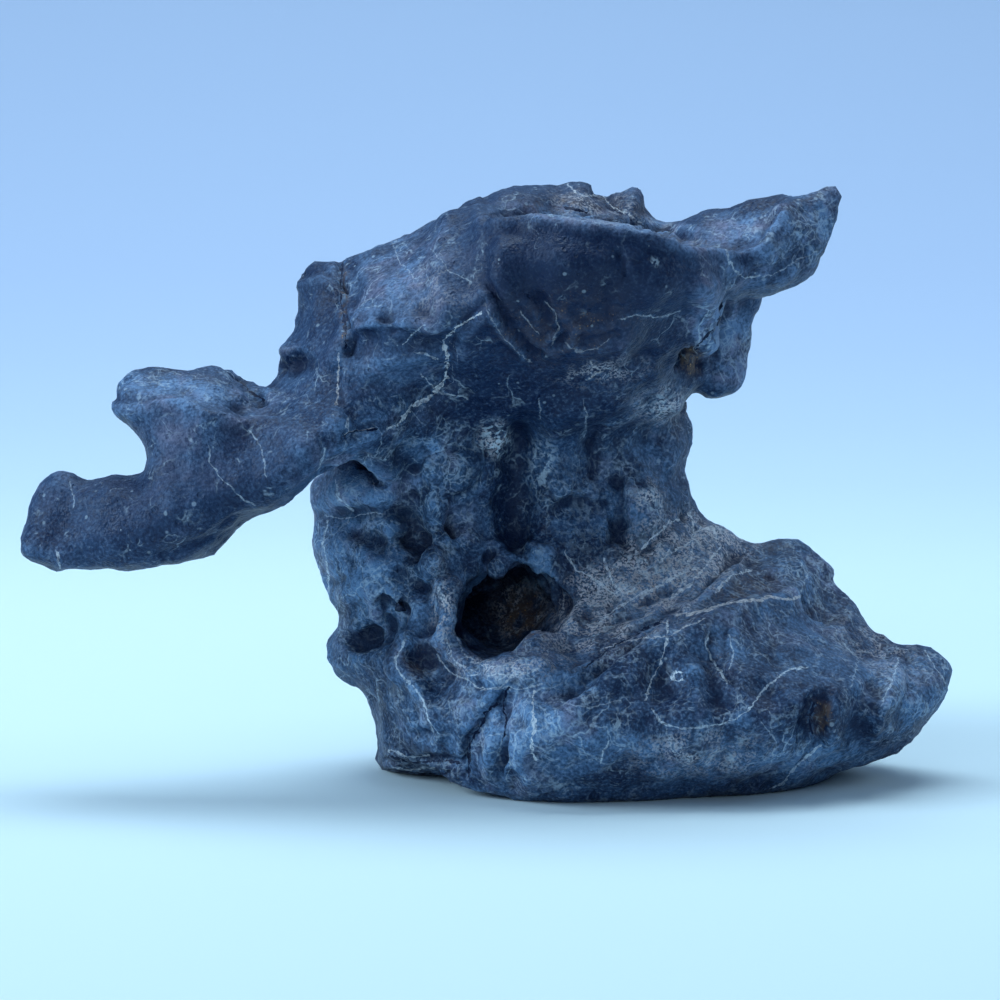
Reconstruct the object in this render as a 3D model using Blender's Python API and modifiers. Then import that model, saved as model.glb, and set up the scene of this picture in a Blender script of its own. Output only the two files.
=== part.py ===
"""A scholar's rock: one dark, hard, water-carved limestone, 135 x 100 x 87 mm, in one solid.

The stone stands on a flat sawn patch of its own foot. Above a broad base with a foot to the right, a
narrow neck with a cave carries an overhanging crown, with a long wing to the left and a horn to the
right. Its masses are blocked out as slabs of their outlines, swelled to two faces each, fused by
remeshing, hollowed, carved by strokes, weathered, and cut flat underneath.

Lengths in the tables are millimetres: X to the right, Y to the back, Z up, origin under the middle.
"""

import math

import bmesh
import bpy
import numpy as np
from mathutils import Euler, Vector, noise

MM = 0.001

# Overall size, which the finished rock is fitted to
LENGTH = 135.0
DEPTH = 100.0
HEIGHT = 87.0

# A mass is an outline (u, z) and stations (u, z, near face, far face) in an upright plane
CROWN_OUTLINE = [
    (-67.1, 35), (-66.1, 38), (-65.4, 42), (-63, 45), (-60.5, 46.5), (-57, 45), (-53, 45.5), (-49, 45.5),
    (-47, 47.5), (-48.5, 50.5), (-52.5, 54), (-53.5, 56.5), (-52, 59), (-49, 60.3), (-44, 60),
    (-39, 61), (-36, 60), (-33, 57.5), (-30.5, 57.5), (-29.5, 59.5), (-30, 61.5), (-28, 65),
    (-26.5, 69), (-27, 73.5), (-25.5, 75.2), (-20, 76), (-15.5, 78), (-11.5, 79), (-6.5, 81),
    (-4.5, 83.2), (1, 84.5), (4.5, 82.5), (13, 82), (23, 80.5), (30.5, 78.5), (35.5, 78), (40, 80),
    (43, 84.5), (47, 86), (51.3, 86), (51, 81.5), (49.5, 78.5), (48, 75), (46, 73), (42, 71),
    (36.5, 69.5), (33, 65.5), (30, 61), (28.5, 55), (23, 51), (11, 49), (0, 49), (-8, 49),
    (-10.5, 45.5), (-12.5, 44), (-14.5, 45), (-16.5, 47), (-19, 48), (-22.5, 47), (-26, 43.5),
    (-29.5, 41), (-34.5, 39), (-37.5, 36), (-40.5, 34), (-45.5, 33), (-50.5, 32.2), (-55, 32.8),
    (-60.5, 32.3), (-64.5, 33.2),
]
CROWN_STATIONS = [
    (-64, 35, -32, -22), (-60, 44, -30, -20), (-50, 38, -37, -20), (-36, 41, -38, -18),
    (-42, 50, -36, -14), (-48, 56, -29, -14), (-38, 57, -29, -12), (-28, 51, -37, -14),
    (-20, 52, -37, -8), (-30, 56, -26, -11), (-24, 66, -25, -8), (-24, 73, -20, -8), (-18, 71, -29, -4),
    (-10, 73, -33, -2), (-8, 78, -29, -3), (-12, 66, -38, 0), (-3, 69, -39, 2), (-12, 58, -31, 1),
    (-5, 58, -28, 4), (-13, 47, -31, -6), (-3, 81, -33, -8), (1, 82, -36, -8), (6, 80, -43, -10),
    (13, 80, -45, -12), (23, 78, -43, -12), (31, 76, -37, -12), (36, 76, -32, -12), (13, 71, -40, 2),
    (13, 62, -33, 5), (12, 54, -26, 5), (23, 71, -38, 1), (23, 62, -30, 4), (23, 55, -22, 6),
    (3, 70, -40, 3), (3, 60, -29, 6), (32, 70, -30, 0), (29, 60, -22, 4), (42, 76, -28, -14),
    (49, 84, -22, -15), (50, 79, -23, -16), (44, 82, -25, -15),
]
CREST_OUTLINE = [
    (-6, 76), (-5, 82), (1, 85.5), (7, 86.6), (11, 86), (14, 87.2), (17, 85.2), (21.5, 85.7),
    (23.7, 83.6), (24.5, 81), (28.5, 81), (32, 83), (35.5, 83), (40.5, 85), (45, 85.3), (45, 80),
    (40, 73), (30, 66), (14, 60), (-4, 64),
]
CREST_STATIONS = [
    (0, 82, -24, -2), (13, 84, -17, 5), (22, 82, -16, 9), (28, 79, -20, 4), (35, 80, -22, -2),
    (42, 82, -22, -9), (8, 74, -26, 4), (24, 74, -24, 10), (38, 76, -22, -4), (12, 65, -20, 6),
    (28, 68, -20, 4),
]
FLAP_OUTLINE = [
    (24, 70), (34, 72), (42.5, 71), (41, 69), (39.5, 66), (39, 62.5), (38.5, 59), (37.5, 56.5),
    (35.5, 56), (33.5, 55), (31.5, 56), (28, 56), (23, 58),
]
FLAP_STATIONS = [
    (38, 69, -14, -4), (38, 62, -13, -4), (32, 58, -16, 1), (28, 65, -14, 6), (34, 66, -14, 2),
]
BODY_OUTLINE = [
    (-26, 42), (-25, 37), (-25, 32), (-23.5, 26.5), (-21.3, 22.5), (-23, 18.7), (-21.5, 15),
    (-17.5, 12), (-16, 6.5), (-15.8, 2), (-15.5, -3), (-12, -6.5), (2, -7), (20, -7), (37, -6),
    (45, -4), (50, -1), (53, 1), (58, 2.5), (62, 5), (64.7, 8), (67.5, 11.5), (68.6, 14), (68.3, 16.5),
    (65.5, 18.7), (61, 19), (58, 19.5), (56.5, 22), (55, 25), (51.7, 27), (50.8, 29.5), (47.5, 32),
    (45.5, 33), (42, 32.5), (38.5, 33.5), (34, 36.5), (31, 38.5), (30, 44), (30.5, 48.5), (29.5, 54),
    (26, 60), (10, 64), (-4, 60), (-14, 52), (-20, 47),
]
BODY_STATIONS = [
    (-22, 43, -15, 2), (-22, 34, -18, 4), (-17, 39, -21, 5), (-20, 26, -20, 3), (-21, 18, -21, -2),
    (-17, 14, -23, 2), (-13, 6, -26, 5), (-11, 1, -25, 6), (-8, 40, -22, 5), (-10, 30, -25, 7),
    (-3, 38, -20, 6), (-6, 23, -29, 8), (-5, 17, -34, 9), (2, 35, -20, 7), (8, 45, -17, 7),
    (8, 55, -18, 6), (20, 45, -15, 6), (27, 45, -9, 4), (18, 36, -18, 7), (26, 37, -15, 5),
    (3, 18, -39, 11), (12, 20, -37, 11), (18, 23, -32, 11), (24, 26, -28, 10), (31, 28, -25, 8),
    (42, 28, -16, 5), (16, 29, -22, 11), (25, 31, -20, 9), (3, 11, -42, 12), (3, 2, -37, 12),
    (15, 12, -45, 12), (17, 3, -40, 13), (28, 16, -44, 11), (30, 4, -38, 13), (40, 16, -43, 9),
    (42, 5, -36, 10), (52, 16, -37, 4), (52, 6, -32, 4), (60, 13, -30, -4), (65, 16, -25, -8),
    (64, 10, -25, -8), (36, 33, -13, 5), (45, 30, -11, 4), (46, 23, -25, 7), (53, 22, -19, 2),
    (49, 28, -9, 3), (58, 18, -24, -5),
]
SKIRT_OUTLINE = [
    (-11, -6), (-13, 3), (-10, 8), (-5, 12), (2, 15), (8, 14), (15, 19), (24, 22), (32, 19), (39, 15),
    (44, 10), (46, 3), (43, -6),
]
SKIRT_STATIONS = [
    (-10, 4, -6, 13), (-3, 9, -6, 13), (4, 3, -6, 24), (10, 11, -6, 17), (22, 14, -6, 15),
    (20, 4, -6, 22), (32, 12, -6, 15), (34, 3, -6, 25), (42, 5, -6, 14),
]
BUTTRESS_OUTLINE = [
    (-8, 58), (0, 71), (6, 74), (11, 71), (14, 65), (15.5, 57), (19.5, 51), (24.5, 46.5), (27, 41),
    (28, 35), (32, 29.5), (38, 25), (42, 19.5), (47.5, 16), (52.5, 11), (54, 5.5), (52, 0), (50, -6),
    (30, -7), (10, -7), (-8, -7),
]
BUTTRESS_STATIONS = [
    (2, 66, -14, 12), (8, 66, -8, 9), (12, 56, -7, 7), (22, 45, -6, 5), (25, 40, -6, 5),
    (14, 42, -8, 7), (30, 27, -7, 8), (20, 26, -9, 9), (39, 18, -8, 9), (48, 11, -8, 8), (51, 3, -9, 6),
    (36, 6, -13, 12), (15, 10, -14, 14),
]
# name: (outline, stations, edge rounding, turn about Z in degrees, where u and the faces are zero)
MASSES = {
    "crown": (CROWN_OUTLINE, CROWN_STATIONS, 6, 0, (0, 0)),
    "crest": (CREST_OUTLINE, CREST_STATIONS, 7, 0, (0, 0)),
    "flap": (FLAP_OUTLINE, FLAP_STATIONS, 5, 0, (0, 0)),
    "body": (BODY_OUTLINE, BODY_STATIONS, 9, 0, (0, 0)),
    "skirt": (SKIRT_OUTLINE, SKIRT_STATIONS, 9, 0, (0, 0)),
    "buttress": (BUTTRESS_OUTLINE, BUTTRESS_STATIONS, 7, 78, (4, 0)),
}

# Hollows cut into the stone: centre, half axes, turn in degrees about X, Y, Z
HOLLOWS = {
    "cave": ((2.4, -22, 25.2), (7, 18, 6.6), (6, 28, -6)),
    "cave_mouth": ((5.6, -27.5, 27), (6.8, 6, 6), (0, 30, 20)),
    "cave_chamber": ((1, -11, 24.5), (8, 7, 6.5), (0, 0, 0)),
    "front_undercut": ((-8, -34, -12), (36, 36, 14), (0, 0, 0)),
    "left_scoop": ((-13, 21, 37), (12, 15, 15), (25, 15, 10)),
    "left_low_scoop": ((-12, 25, 19), (14, 14, 9), (10, -10, 20)),
    "right_scoop": ((31, 19, 40), (11, 13, 15), (15, -12, 0)),
    "right_low_scoop": ((42, 24, 21), (14, 11, 10), (-20, 10, -25)),
    "nape_scoop": ((-10, 11, 66), (12, 12, 8), (0, 20, 0)),
}
HOLLOW_WARP = 0.22

# Strokes carved on the near face: points (x, z), reach across, height (negative carves in)
STROKES = [
    # pits, ledge and bumps of the lobe under the wing
    ([(-9.8, 41), (-9.2, 37)], 2.7, -5.2), ([(-3.4, 39)], 2.3, -3.8),
    ([(-11, 31.8), (-8, 31.6)], 1.9, -3.4), ([(0.6, 34.2)], 1.5, -1.6),
    ([(-14.4, 27), (-14.2, 24.5)], 2.1, -4), ([(-19.8, 21.6), (-16.6, 21.9)], 1.8, -3.6),
    ([(-20.8, 38.6), (-14.3, 35.7)], 1.7, -2.4), ([(-23.7, 40), (-12, 40.4)], 1.3, -1.8),
    ([(-22.5, 42.4), (-12.5, 42.2)], 2.1, 1.1), ([(-5.6, 47.3)], 4.4, 2.2), ([(-18, 31)], 3.6, 1),
    ([(-6.6, 43), (-6.3, 36.4), (-7.5, 33.5)], 1.8, 1.4),
    ([(-20.8, 46.8), (-17.2, 47.7), (-15.3, 45.1), (-12, 44.3), (-10.4, 46.6), (-9.9, 49.5)], 1.3, -1.8),
    # columns and hollows of the neck
    ([(5.6, 52), (5.4, 36)], 2.4, -2), ([(12, 48), (12, 43.5)], 3.4, 1.5),
    ([(11, 41.6), (17, 41.4)], 1.4, -1.2), ([(16, 50), (16.2, 46.5)], 1.8, -1.6),
    ([(19.5, 45), (20.5, 36)], 1.7, -1.7), ([(24.5, 44), (24, 38)], 2.8, 1),
    ([(26.5, 54), (27.5, 46)], 2.6, 1), ([(1, 48), (0.5, 42)], 2.6, 0.9),
    ([(4.5, 34.4), (9.5, 35)], 1.5, 1.2),
    # rim of the cave
    ([(-7.8, 33.5), (-6, 30.6), (-5.3, 27.7), (-5.9, 24.8), (-6.6, 21.9)], 1.7, 1.8),
    ([(8.5, 31), (9.5, 26)], 3.4, -1.6), ([(-4.5, 20.6), (2.5, 18.9), (8, 20)], 1.8, 1.2),
    # fold between the slope and the base, and the ledge under it
    ([(3.3, 16.4), (5.2, 17.3), (8.7, 15.9), (13.6, 18.3), (19.3, 22.5), (27.8, 27.8)], 1.6, -1.6),
    ([(8.5, 13.5), (14, 16), (20, 20), (25, 23.6), (31, 25.4), (38, 26.4), (46, 27)], 2.2, 1.8),
    ([(12, 24), (20, 28.5), (28, 31)], 3.4, -1.6),
    # folds, crack and facets of the base on the left
    ([(-11.3, 22.3), (-12.7, 18.7), (-9.4, 15.1), (-8.4, 12.9), (-7.4, 8.6)], 1.7, 1.7),
    ([(-8.2, 20.3)], 2.8, -1.8), ([(-8.2, 8.9)], 1.4, -2), ([(-12, 11.5)], 3.2, 1.2),
    ([(-12, 4.5), (-9, 4)], 1.6, -1), ([(2.3, 13.8), (0, 11.7), (-1.9, 8.6), (-2.5, 3.6)], 1.2, -1.5),
    ([(0.6, 8), (0.4, 3)], 1.4, 0.8), ([(3.3, 15.7), (3.3, 11.1), (2.6, 7.9), (2.3, 2.9)], 1.4, -1.7),
    ([(5.6, 14.5), (5.6, 3)], 1.9, 1.2), ([(-4.5, 14), (-4, 8)], 2.4, 0.8),
    # facets of the base in the middle and of the foot
    ([(12, 12)], 3, 1), ([(19, 12.5)], 3.2, 1.1), ([(27.5, 6.8), (36, 6)], 5, 1.2),
    ([(24.5, 19)], 3.6, -1.6), ([(32.3, 22.3), (33.7, 16.7)], 2.1, -1.8),
    ([(29, 20), (28, 15)], 2, 0.9), ([(40.9, 17.7)], 3.1, -1.7), ([(37, 13), (44, 15.5)], 2.4, 1.1),
    ([(48.8, 26)], 2.6, -2.4), ([(45, 31)], 3.6, 1.4), ([(53.5, 24)], 2.2, 1.2),
    ([(47.1, 12.3), (46.3, 8.8)], 2, -3), ([(49, 13.6), (49.4, 9)], 1.6, 0.9),
    ([(47.7, 8), (44.6, 5.7), (42.5, 3.1), (40, 1.7)], 1.4, -1.4),
    ([(54.6, 15.4), (53.7, 7.5)], 2.2, -1.7), ([(58.4, 18), (57.6, 13.3), (56.5, 9)], 1.7, 1.6),
    ([(62.5, 16), (61, 10)], 2.4, -0.9),
    # crown: faces, ledges and cracks on the left
    ([(-20, 76.5), (-20, 64)], 1.4, -1.5),
    ([(-19, 67.9), (-12, 67.6), (-6.2, 67.1), (-3.3, 67.9), (-0.5, 69.6)], 2.2, 1.6),
    ([(-17, 64.6), (-10, 64), (-7, 64)], 2.8, -1.6),
    ([(-0.5, 69.4), (-4.5, 66.2), (-5, 62)], 1.1, -1.1), ([(-6, 82), (-6, 75), (-6, 70)], 2.2, 0.9),
    ([(0.5, 83.5), (1.5, 79), (2, 74), (1, 70)], 2.6, 1.3), ([(5.5, 77), (6, 71)], 3, -1.3),
    ([(-23.5, 72), (-23.5, 67)], 2.6, -1.3), ([(-28, 62.4)], 1.8, -1.2),
    ([(-11, 58), (-6, 59)], 3.4, -1.4), ([(-15, 52), (-12, 56)], 2.8, 1.2),
    # crown: rim, dark face and horn on the right
    ([(4, 82.4), (12, 81.6), (17, 81), (22.5, 80.2), (28, 78.6), (31, 77.8), (35, 77.6)], 1.9, 1.7),
    ([(39.5, 78.6), (41.5, 80.5), (42.5, 84)], 1.8, 1.5), ([(19.6, 77.5), (19.8, 73)], 1.4, -1.2),
    ([(17.2, 73.2), (17.2, 69)], 1.4, -0.9), ([(10, 64), (15, 64.8), (20, 66)], 3.4, 1.5),
    ([(23, 62.2)], 1.6, -1.3), ([(12, 57), (20, 59)], 3.2, -1.3), ([(25, 72), (30, 73)], 3.4, 1),
    ([(34.7, 69.9), (33.1, 67.5), (30.9, 65.1), (29.5, 63.6)], 1.3, -2),
    ([(29.5, 62.4), (29.3, 61)], 1.7, -3), ([(34.5, 62)], 3, -0.9), ([(40, 73.5), (46, 78)], 2.4, -0.9),
    # wing
    ([(-52, 56.7), (-47, 57), (-43, 56.7), (-40, 55.9), (-35, 54.4), (-30, 53.5), (-20, 53.3)], 2.4, 1.5),
    ([(-35.7, 61.5), (-34.6, 60), (-33.9, 58.6), (-31.5, 56.9)], 1.5, -2.4), ([(-62, 37.6)], 3, -1),
    ([(-65.5, 35.6), (-60, 34)], 1.6, 1), ([(-45.3, 34.6), (-39, 35.8), (-34.6, 39)], 1.1, -1),
    ([(-44, 48), (-34, 47)], 4, -1), ([(-57, 44), (-52, 44)], 2, 0.8), ([(-24, 48)], 3, 1),
]
# The same on the far face
BACK_STROKES = [
    ([(-12, 58), (-20, 62), (-24, 70)], 3.4, 1.8), ([(-8, 76), (-2, 70), (2, 62)], 3.2, 1.8),
    ([(6, 80), (14, 76), (24, 78)], 3.6, -2.2), ([(16, 68), (26, 66), (34, 70)], 3.4, 2),
    ([(-40, 52), (-48, 44), (-58, 40)], 3.6, 1.4), ([(-44, 38)], 5, -1.6), ([(-34, 46)], 5, -1.8),
    ([(-30, 62)], 3, -1.4), ([(40, 78), (46, 82)], 2.6, -1.2), ([(-20, 42), (-22, 34)], 3.2, -1.8),
    ([(22, 44), (24, 52)], 3.4, 1.6), ([(58, 12)], 4, -1.6), ([(18, 60)], 3.4, -1.8),
    ([(-16, 48)], 3.6, -1.6),
]

OUTLINE_STEPS = 6
SLAB_HALF = 4.0
STATION_SPREAD = 12.0
VOXEL = 1.0
FINE_VOXEL = 0.8
RELAXES = 3
STROKE_PICK = 1.3
FACE_BUDGET = 10300
SAWN_BAND = 0.001
STONE_COLOUR = (0.045, 0.07, 0.115, 1)
STONE_ROUGHNESS = 0.42

# Weathering: size of the scallops, their height on the near side and on the far side
SCALLOPS = [(16, 0.4, 4), (8, 0.5, 1.8), (4.5, 0.5, 0.7)]
SCALLOP_WARP = 0.45
NOISE_SEED = 7


def add_object(name, data):
    """Links a new object holding data to the scene and returns it."""
    obj = bpy.data.objects.new(name, data)
    bpy.context.scene.collection.objects.link(obj)
    return obj


def applied(obj):
    """Replaces an object by one whose mesh has its modifiers and its placing applied."""
    bpy.context.view_layer.update()
    graph = bpy.context.evaluated_depsgraph_get()
    mesh = bpy.data.meshes.new_from_object(obj.evaluated_get(graph))
    mesh.transform(obj.matrix_world)
    name = obj.name
    bpy.data.objects.remove(obj)
    return add_object(name, mesh)


def remeshed(obj, voxel):
    """Fuses everything in obj into one closed skin of even quads."""
    modifier = obj.modifiers.new("Fuse", "REMESH")
    modifier.mode = "VOXEL"
    modifier.voxel_size = voxel * MM
    return applied(obj)


def relaxed(obj, repeats):
    """Smooths the whole surface a little."""
    modifier = obj.modifiers.new("Relax", "SMOOTH")
    modifier.factor = 0.5
    modifier.iterations = repeats
    return applied(obj)


def coordinates(obj):
    """The object's vertices as an array in millimetres."""
    flat = np.empty(len(obj.data.vertices) * 3, np.float32)
    obj.data.vertices.foreach_get("co", flat)
    return flat.reshape(-1, 3).astype(float) / MM


def normals(obj):
    """The object's vertex normals as an array."""
    return np.array([vertex.normal for vertex in obj.data.vertices])


def set_coordinates(obj, points):
    """Writes an array of millimetres back to the object's vertices."""
    obj.data.vertices.foreach_set("co", (points * MM).astype(np.float32).ravel())
    obj.data.update()


def rounded_loop(points, steps):
    """A closed Catmull-Rom curve through the points, with steps pieces between each pair."""
    p1 = np.array(points, float)
    p0, p2, p3 = np.roll(p1, 1, axis=0), np.roll(p1, -1, axis=0), np.roll(p1, -2, axis=0)
    t = (np.arange(steps) / steps)[:, None, None]
    squared, cubed = 2 * p0 - 5 * p1 + 4 * p2 - p3, 3 * p1 - p0 - 3 * p2 + p3
    curve = 0.5 * (2 * p1 + (p2 - p0) * t + squared * t**2 + cubed * t**3)
    return curve.transpose(1, 0, 2).reshape(-1, 2)


def distance_to_loop(points, loop):
    """How far each point of the plane is from a closed polyline."""
    nearest = np.full(len(points), np.inf)
    for start, end in zip(loop, np.roll(loop, -1, axis=0)):
        along = end - start
        share = np.clip((points - start) @ along / (along @ along), 0, 1)
        nearest = np.minimum(nearest, np.linalg.norm(points - start - share[:, None] * along, axis=1))
    return nearest


def plate_kernel(a, b):
    """The thin-plate bending term between every point of a and every point of b."""
    gap = np.linalg.norm(a[:, None] - b[None], axis=2) / STATION_SPREAD
    return gap**2 * np.log(gap + 1e-9)


def smooth_surface(stations, values, points):
    """The thin-plate surface through values at the stations, read at the points."""
    count = len(stations)
    level = np.column_stack([np.ones(count), stations / STATION_SPREAD])
    system = np.zeros((count + 3, count + 3))
    system[:count, :count] = plate_kernel(stations, stations)
    system[:count, count:] = level
    system[count:, :count] = level.T
    weights = np.linalg.solve(system, np.concatenate([values, np.zeros(3)]))
    tilt = np.column_stack([np.ones(len(points)), points / STATION_SPREAD])
    return plate_kernel(points, stations) @ weights[:count] + tilt @ weights[count:]


def outline_slab(name, loop):
    """A flat slab of the outline, standing in the XZ plane."""
    curve = bpy.data.curves.new(name, "CURVE")
    curve.dimensions = "2D"
    curve.fill_mode = "BOTH"
    curve.extrude = SLAB_HALF * MM
    spline = curve.splines.new("POLY")
    spline.points.add(len(loop) - 1)
    for point, (u, z) in zip(spline.points, loop):
        point.co = (u * MM, z * MM, 0, 1)
    spline.use_cyclic_u = True
    slab = add_object(name, curve)
    slab.rotation_euler = (math.radians(90), 0, 0)
    return applied(slab)


def swelled_mass(name, outline, stations, edge, turn, foot):
    """A slab of the outline, swelled to its near and far faces, rounded at its edge and turned."""
    loop = rounded_loop(outline, OUTLINE_STEPS)
    mass = remeshed(outline_slab(name, loop), VOXEL)
    points = coordinates(mass)
    flat = points[:, [0, 2]]
    table = np.array(stations, float)
    near = smooth_surface(table[:, :2], table[:, 2], flat)
    far = smooth_surface(table[:, :2], table[:, 3], flat)
    inwards = np.clip(distance_to_loop(flat, loop) / edge, 0, 1)
    swell = np.sqrt(1 - (1 - inwards) ** 2)
    side = np.clip(points[:, 1] / SLAB_HALF, -1, 1)
    points[:, 1] = (near + far) / 2 + side * swell * (far - near) / 2
    set_coordinates(mass, points)
    mass.location = (foot[0] * MM, foot[1] * MM, 0)
    mass.rotation_euler = (0, 0, math.radians(turn))
    return applied(mass)


def joined(name, objects):
    """One object holding the meshes of several."""
    bm = bmesh.new()
    for obj in objects:
        bm.from_mesh(obj.data)
        bpy.data.objects.remove(obj)
    mesh = bpy.data.meshes.new(name)
    bm.to_mesh(mesh)
    bm.free()
    return add_object(name, mesh)


def warped(sphere):
    """Makes a sphere irregular, so that what it cuts isn't round."""
    for vertex in sphere.data.vertices:
        vertex.co *= 1 + HOLLOW_WARP * noise.noise(vertex.co * 1.7 + sphere.location / MM)
    return sphere


def hollowed(rock):
    """Cuts the hollows, which are ellipsoids, out of the rock."""
    for name, (centre, half_axes, turn) in HOLLOWS.items():
        bpy.ops.mesh.primitive_ico_sphere_add(subdivisions=4, radius=1, location=Vector(centre) * MM)
        cutter = warped(bpy.context.object)
        cutter.scale = Vector(half_axes) * MM
        cutter.rotation_euler = Euler([math.radians(angle) for angle in turn])
        cutter = applied(cutter)
        modifier = rock.modifiers.new(name, "BOOLEAN")
        modifier.operation = "DIFFERENCE"
        modifier.object = cutter
        rock = applied(rock)
        bpy.data.objects.remove(cutter)
    return rock


def stroke_path(points, corners, far):
    """The stroke's corners laid on the near or far face, as points a short step apart."""
    path = np.array(corners, float)
    if len(path) > 1:
        pieces = [
            start + (end - start) * np.linspace(0, 1, 2 + int(np.linalg.norm(end - start)))[:, None]
            for start, end in zip(path[:-1], path[1:])
        ]
        path = np.concatenate(pieces)
    laid = []
    for corner in path:
        gap = np.linalg.norm(points[:, [0, 2]] - corner, axis=1)
        close = np.flatnonzero(gap < max(STROKE_PICK, gap.min() + 0.1))
        depth = points[close, 1]
        laid.append(points[close[depth.argmax() if far else depth.argmin()]])
    return np.array(laid)


def carved(rock, strokes, far=False):
    """Raises or sinks the face along each stroke, fading out to nothing at its reach."""
    points, outwards = coordinates(rock), normals(rock)
    shift = np.zeros(len(points))
    for corners, reach, height in strokes:
        nearest = np.full(len(points), np.inf)
        for spot in stroke_path(points, corners, far):
            nearest = np.minimum(nearest, np.linalg.norm(points - spot, axis=1))
        fade = np.clip(1 - (nearest / (1.5 * reach)) ** 2, 0, 1) ** 2
        shift += height * fade
    set_coordinates(rock, points + outwards * shift[:, None])
    return rock


def scallop(point, size):
    """How far out the surface is between dissolved hollows, from about -0.5 to 0.5."""
    spot = point / size
    spot += SCALLOP_WARP * noise.noise_vector(spot * 1.4)
    return noise.voronoi(spot)[0][0] - 0.5


def weathered(rock):
    """Scallops the whole surface, more on the far side, as dissolving leaves it."""
    points, outwards = coordinates(rock), normals(rock)
    farness = np.clip((points[:, 1] + 6) / 12, 0, 1)
    shift = np.zeros(len(points))
    for size, near_height, far_height in SCALLOPS:
        relief = np.array([scallop(Vector(point), size) for point in points])
        shift += (near_height + (far_height - near_height) * farness) * relief
    set_coordinates(rock, points + outwards * shift[:, None])
    return rock


def sawn(rock):
    """Cuts the rock off flat at Z = 0 and closes the cut."""
    bm = bmesh.new()
    bm.from_mesh(rock.data)
    whole = bm.verts[:] + bm.edges[:] + bm.faces[:]
    down = (0, 0, -1)
    cut = bmesh.ops.bisect_plane(bm, geom=whole, plane_co=(0, 0, 0), plane_no=down, clear_outer=True)
    rim = [edge for edge in cut["geom_cut"] if isinstance(edge, bmesh.types.BMEdge)]
    bmesh.ops.triangle_fill(bm, edges=rim, use_beauty=True, normal=down)
    bmesh.ops.recalc_face_normals(bm, faces=bm.faces)
    bm.to_mesh(rock.data)
    bm.free()
    return rock


def fitted(rock):
    """Scales the rock to its overall size and centres it over the origin, standing on Z = 0."""
    points = coordinates(rock)
    low, high = points.min(axis=0), points.max(axis=0)
    middle = np.array([(low[0] + high[0]) / 2, (low[1] + high[1]) / 2, low[2]])
    set_coordinates(rock, (points - middle) * np.array([LENGTH, DEPTH, HEIGHT]) / (high - low))
    return rock


def thinned(rock):
    """Lowers the number of faces to the budget, keeping most where the surface bends."""
    triangles = sum(len(face.vertices) - 2 for face in rock.data.polygons)
    modifier = rock.modifiers.new("Thin", "DECIMATE")
    modifier.ratio = FACE_BUDGET / triangles
    return applied(rock)


def stone():
    """Dark blue-grey polished limestone."""
    material = bpy.data.materials.new("stone")
    material.use_nodes = True
    shader = material.node_tree.nodes["Principled BSDF"]
    shader.inputs["Base Color"].default_value = STONE_COLOUR
    shader.inputs["Roughness"].default_value = STONE_ROUGHNESS
    shader.inputs["Metallic"].default_value = 0.0
    return material


def dressed(rock):
    """Gives the rock its stone, with its skin shaded smooth and the sawn patch flat."""
    rock.data.materials.append(stone())
    for face in rock.data.polygons:
        face.use_smooth = face.center.z > SAWN_BAND * MM
    return rock


def gathered(rock):
    """Moves the rock to the collection named for the object."""
    collection = bpy.data.collections.new("scholars_rock")
    bpy.context.scene.collection.children.link(collection)
    bpy.context.scene.collection.objects.unlink(rock)
    collection.objects.link(rock)


def build():
    """Models the rock."""
    for obj in list(bpy.data.objects):
        bpy.data.objects.remove(obj)
    noise.seed_set(NOISE_SEED)
    masses = [swelled_mass(name, *form) for name, form in MASSES.items()]
    rock = remeshed(joined("scholars_rock", masses), VOXEL)
    rock = remeshed(hollowed(rock), FINE_VOXEL)
    rock = relaxed(rock, RELAXES)
    rock = carved(rock, STROKES)
    rock = carved(rock, BACK_STROKES, far=True)
    rock = weathered(rock)
    rock = remeshed(rock, FINE_VOXEL)
    rock = relaxed(rock, 1)
    rock = thinned(rock)
    rock = sawn(rock)
    rock = fitted(rock)
    gathered(dressed(rock))


build()
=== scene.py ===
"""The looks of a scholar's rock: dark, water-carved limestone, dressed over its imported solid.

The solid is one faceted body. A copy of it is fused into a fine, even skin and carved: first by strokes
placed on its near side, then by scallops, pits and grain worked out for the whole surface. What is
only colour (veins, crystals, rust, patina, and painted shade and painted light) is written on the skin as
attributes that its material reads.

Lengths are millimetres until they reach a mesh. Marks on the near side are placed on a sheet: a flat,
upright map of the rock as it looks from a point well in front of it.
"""

import logging
import math
from dataclasses import dataclass, field
from enum import Enum
from itertools import product

import bmesh
import bpy
import numpy as np
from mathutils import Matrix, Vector


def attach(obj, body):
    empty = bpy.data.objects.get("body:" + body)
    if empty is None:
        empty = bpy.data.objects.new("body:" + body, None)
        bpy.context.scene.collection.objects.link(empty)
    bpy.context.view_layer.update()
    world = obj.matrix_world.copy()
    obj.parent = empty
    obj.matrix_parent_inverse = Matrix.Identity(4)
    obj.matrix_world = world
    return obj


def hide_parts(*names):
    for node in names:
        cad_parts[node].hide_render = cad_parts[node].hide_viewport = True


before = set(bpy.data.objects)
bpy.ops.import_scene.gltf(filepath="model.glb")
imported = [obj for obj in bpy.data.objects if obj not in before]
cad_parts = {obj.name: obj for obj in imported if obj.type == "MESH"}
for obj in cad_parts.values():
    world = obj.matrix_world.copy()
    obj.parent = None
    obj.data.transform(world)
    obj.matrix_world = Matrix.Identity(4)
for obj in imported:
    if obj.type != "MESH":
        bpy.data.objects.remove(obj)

MM = 0.001
NODE = "scholars_rock"
LOG = logging.getLogger("scholars_rock")
Array = np.ndarray
Object = bpy.types.Object
Material = bpy.types.Material
Socket = bpy.types.NodeSocket
Sockets = bpy.types.NodeOutputs
Source = Socket | float | tuple[float, ...]
Pair = tuple[float, float]
Triple = tuple[float, float, float]
Warp = tuple[float, float, int]
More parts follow.
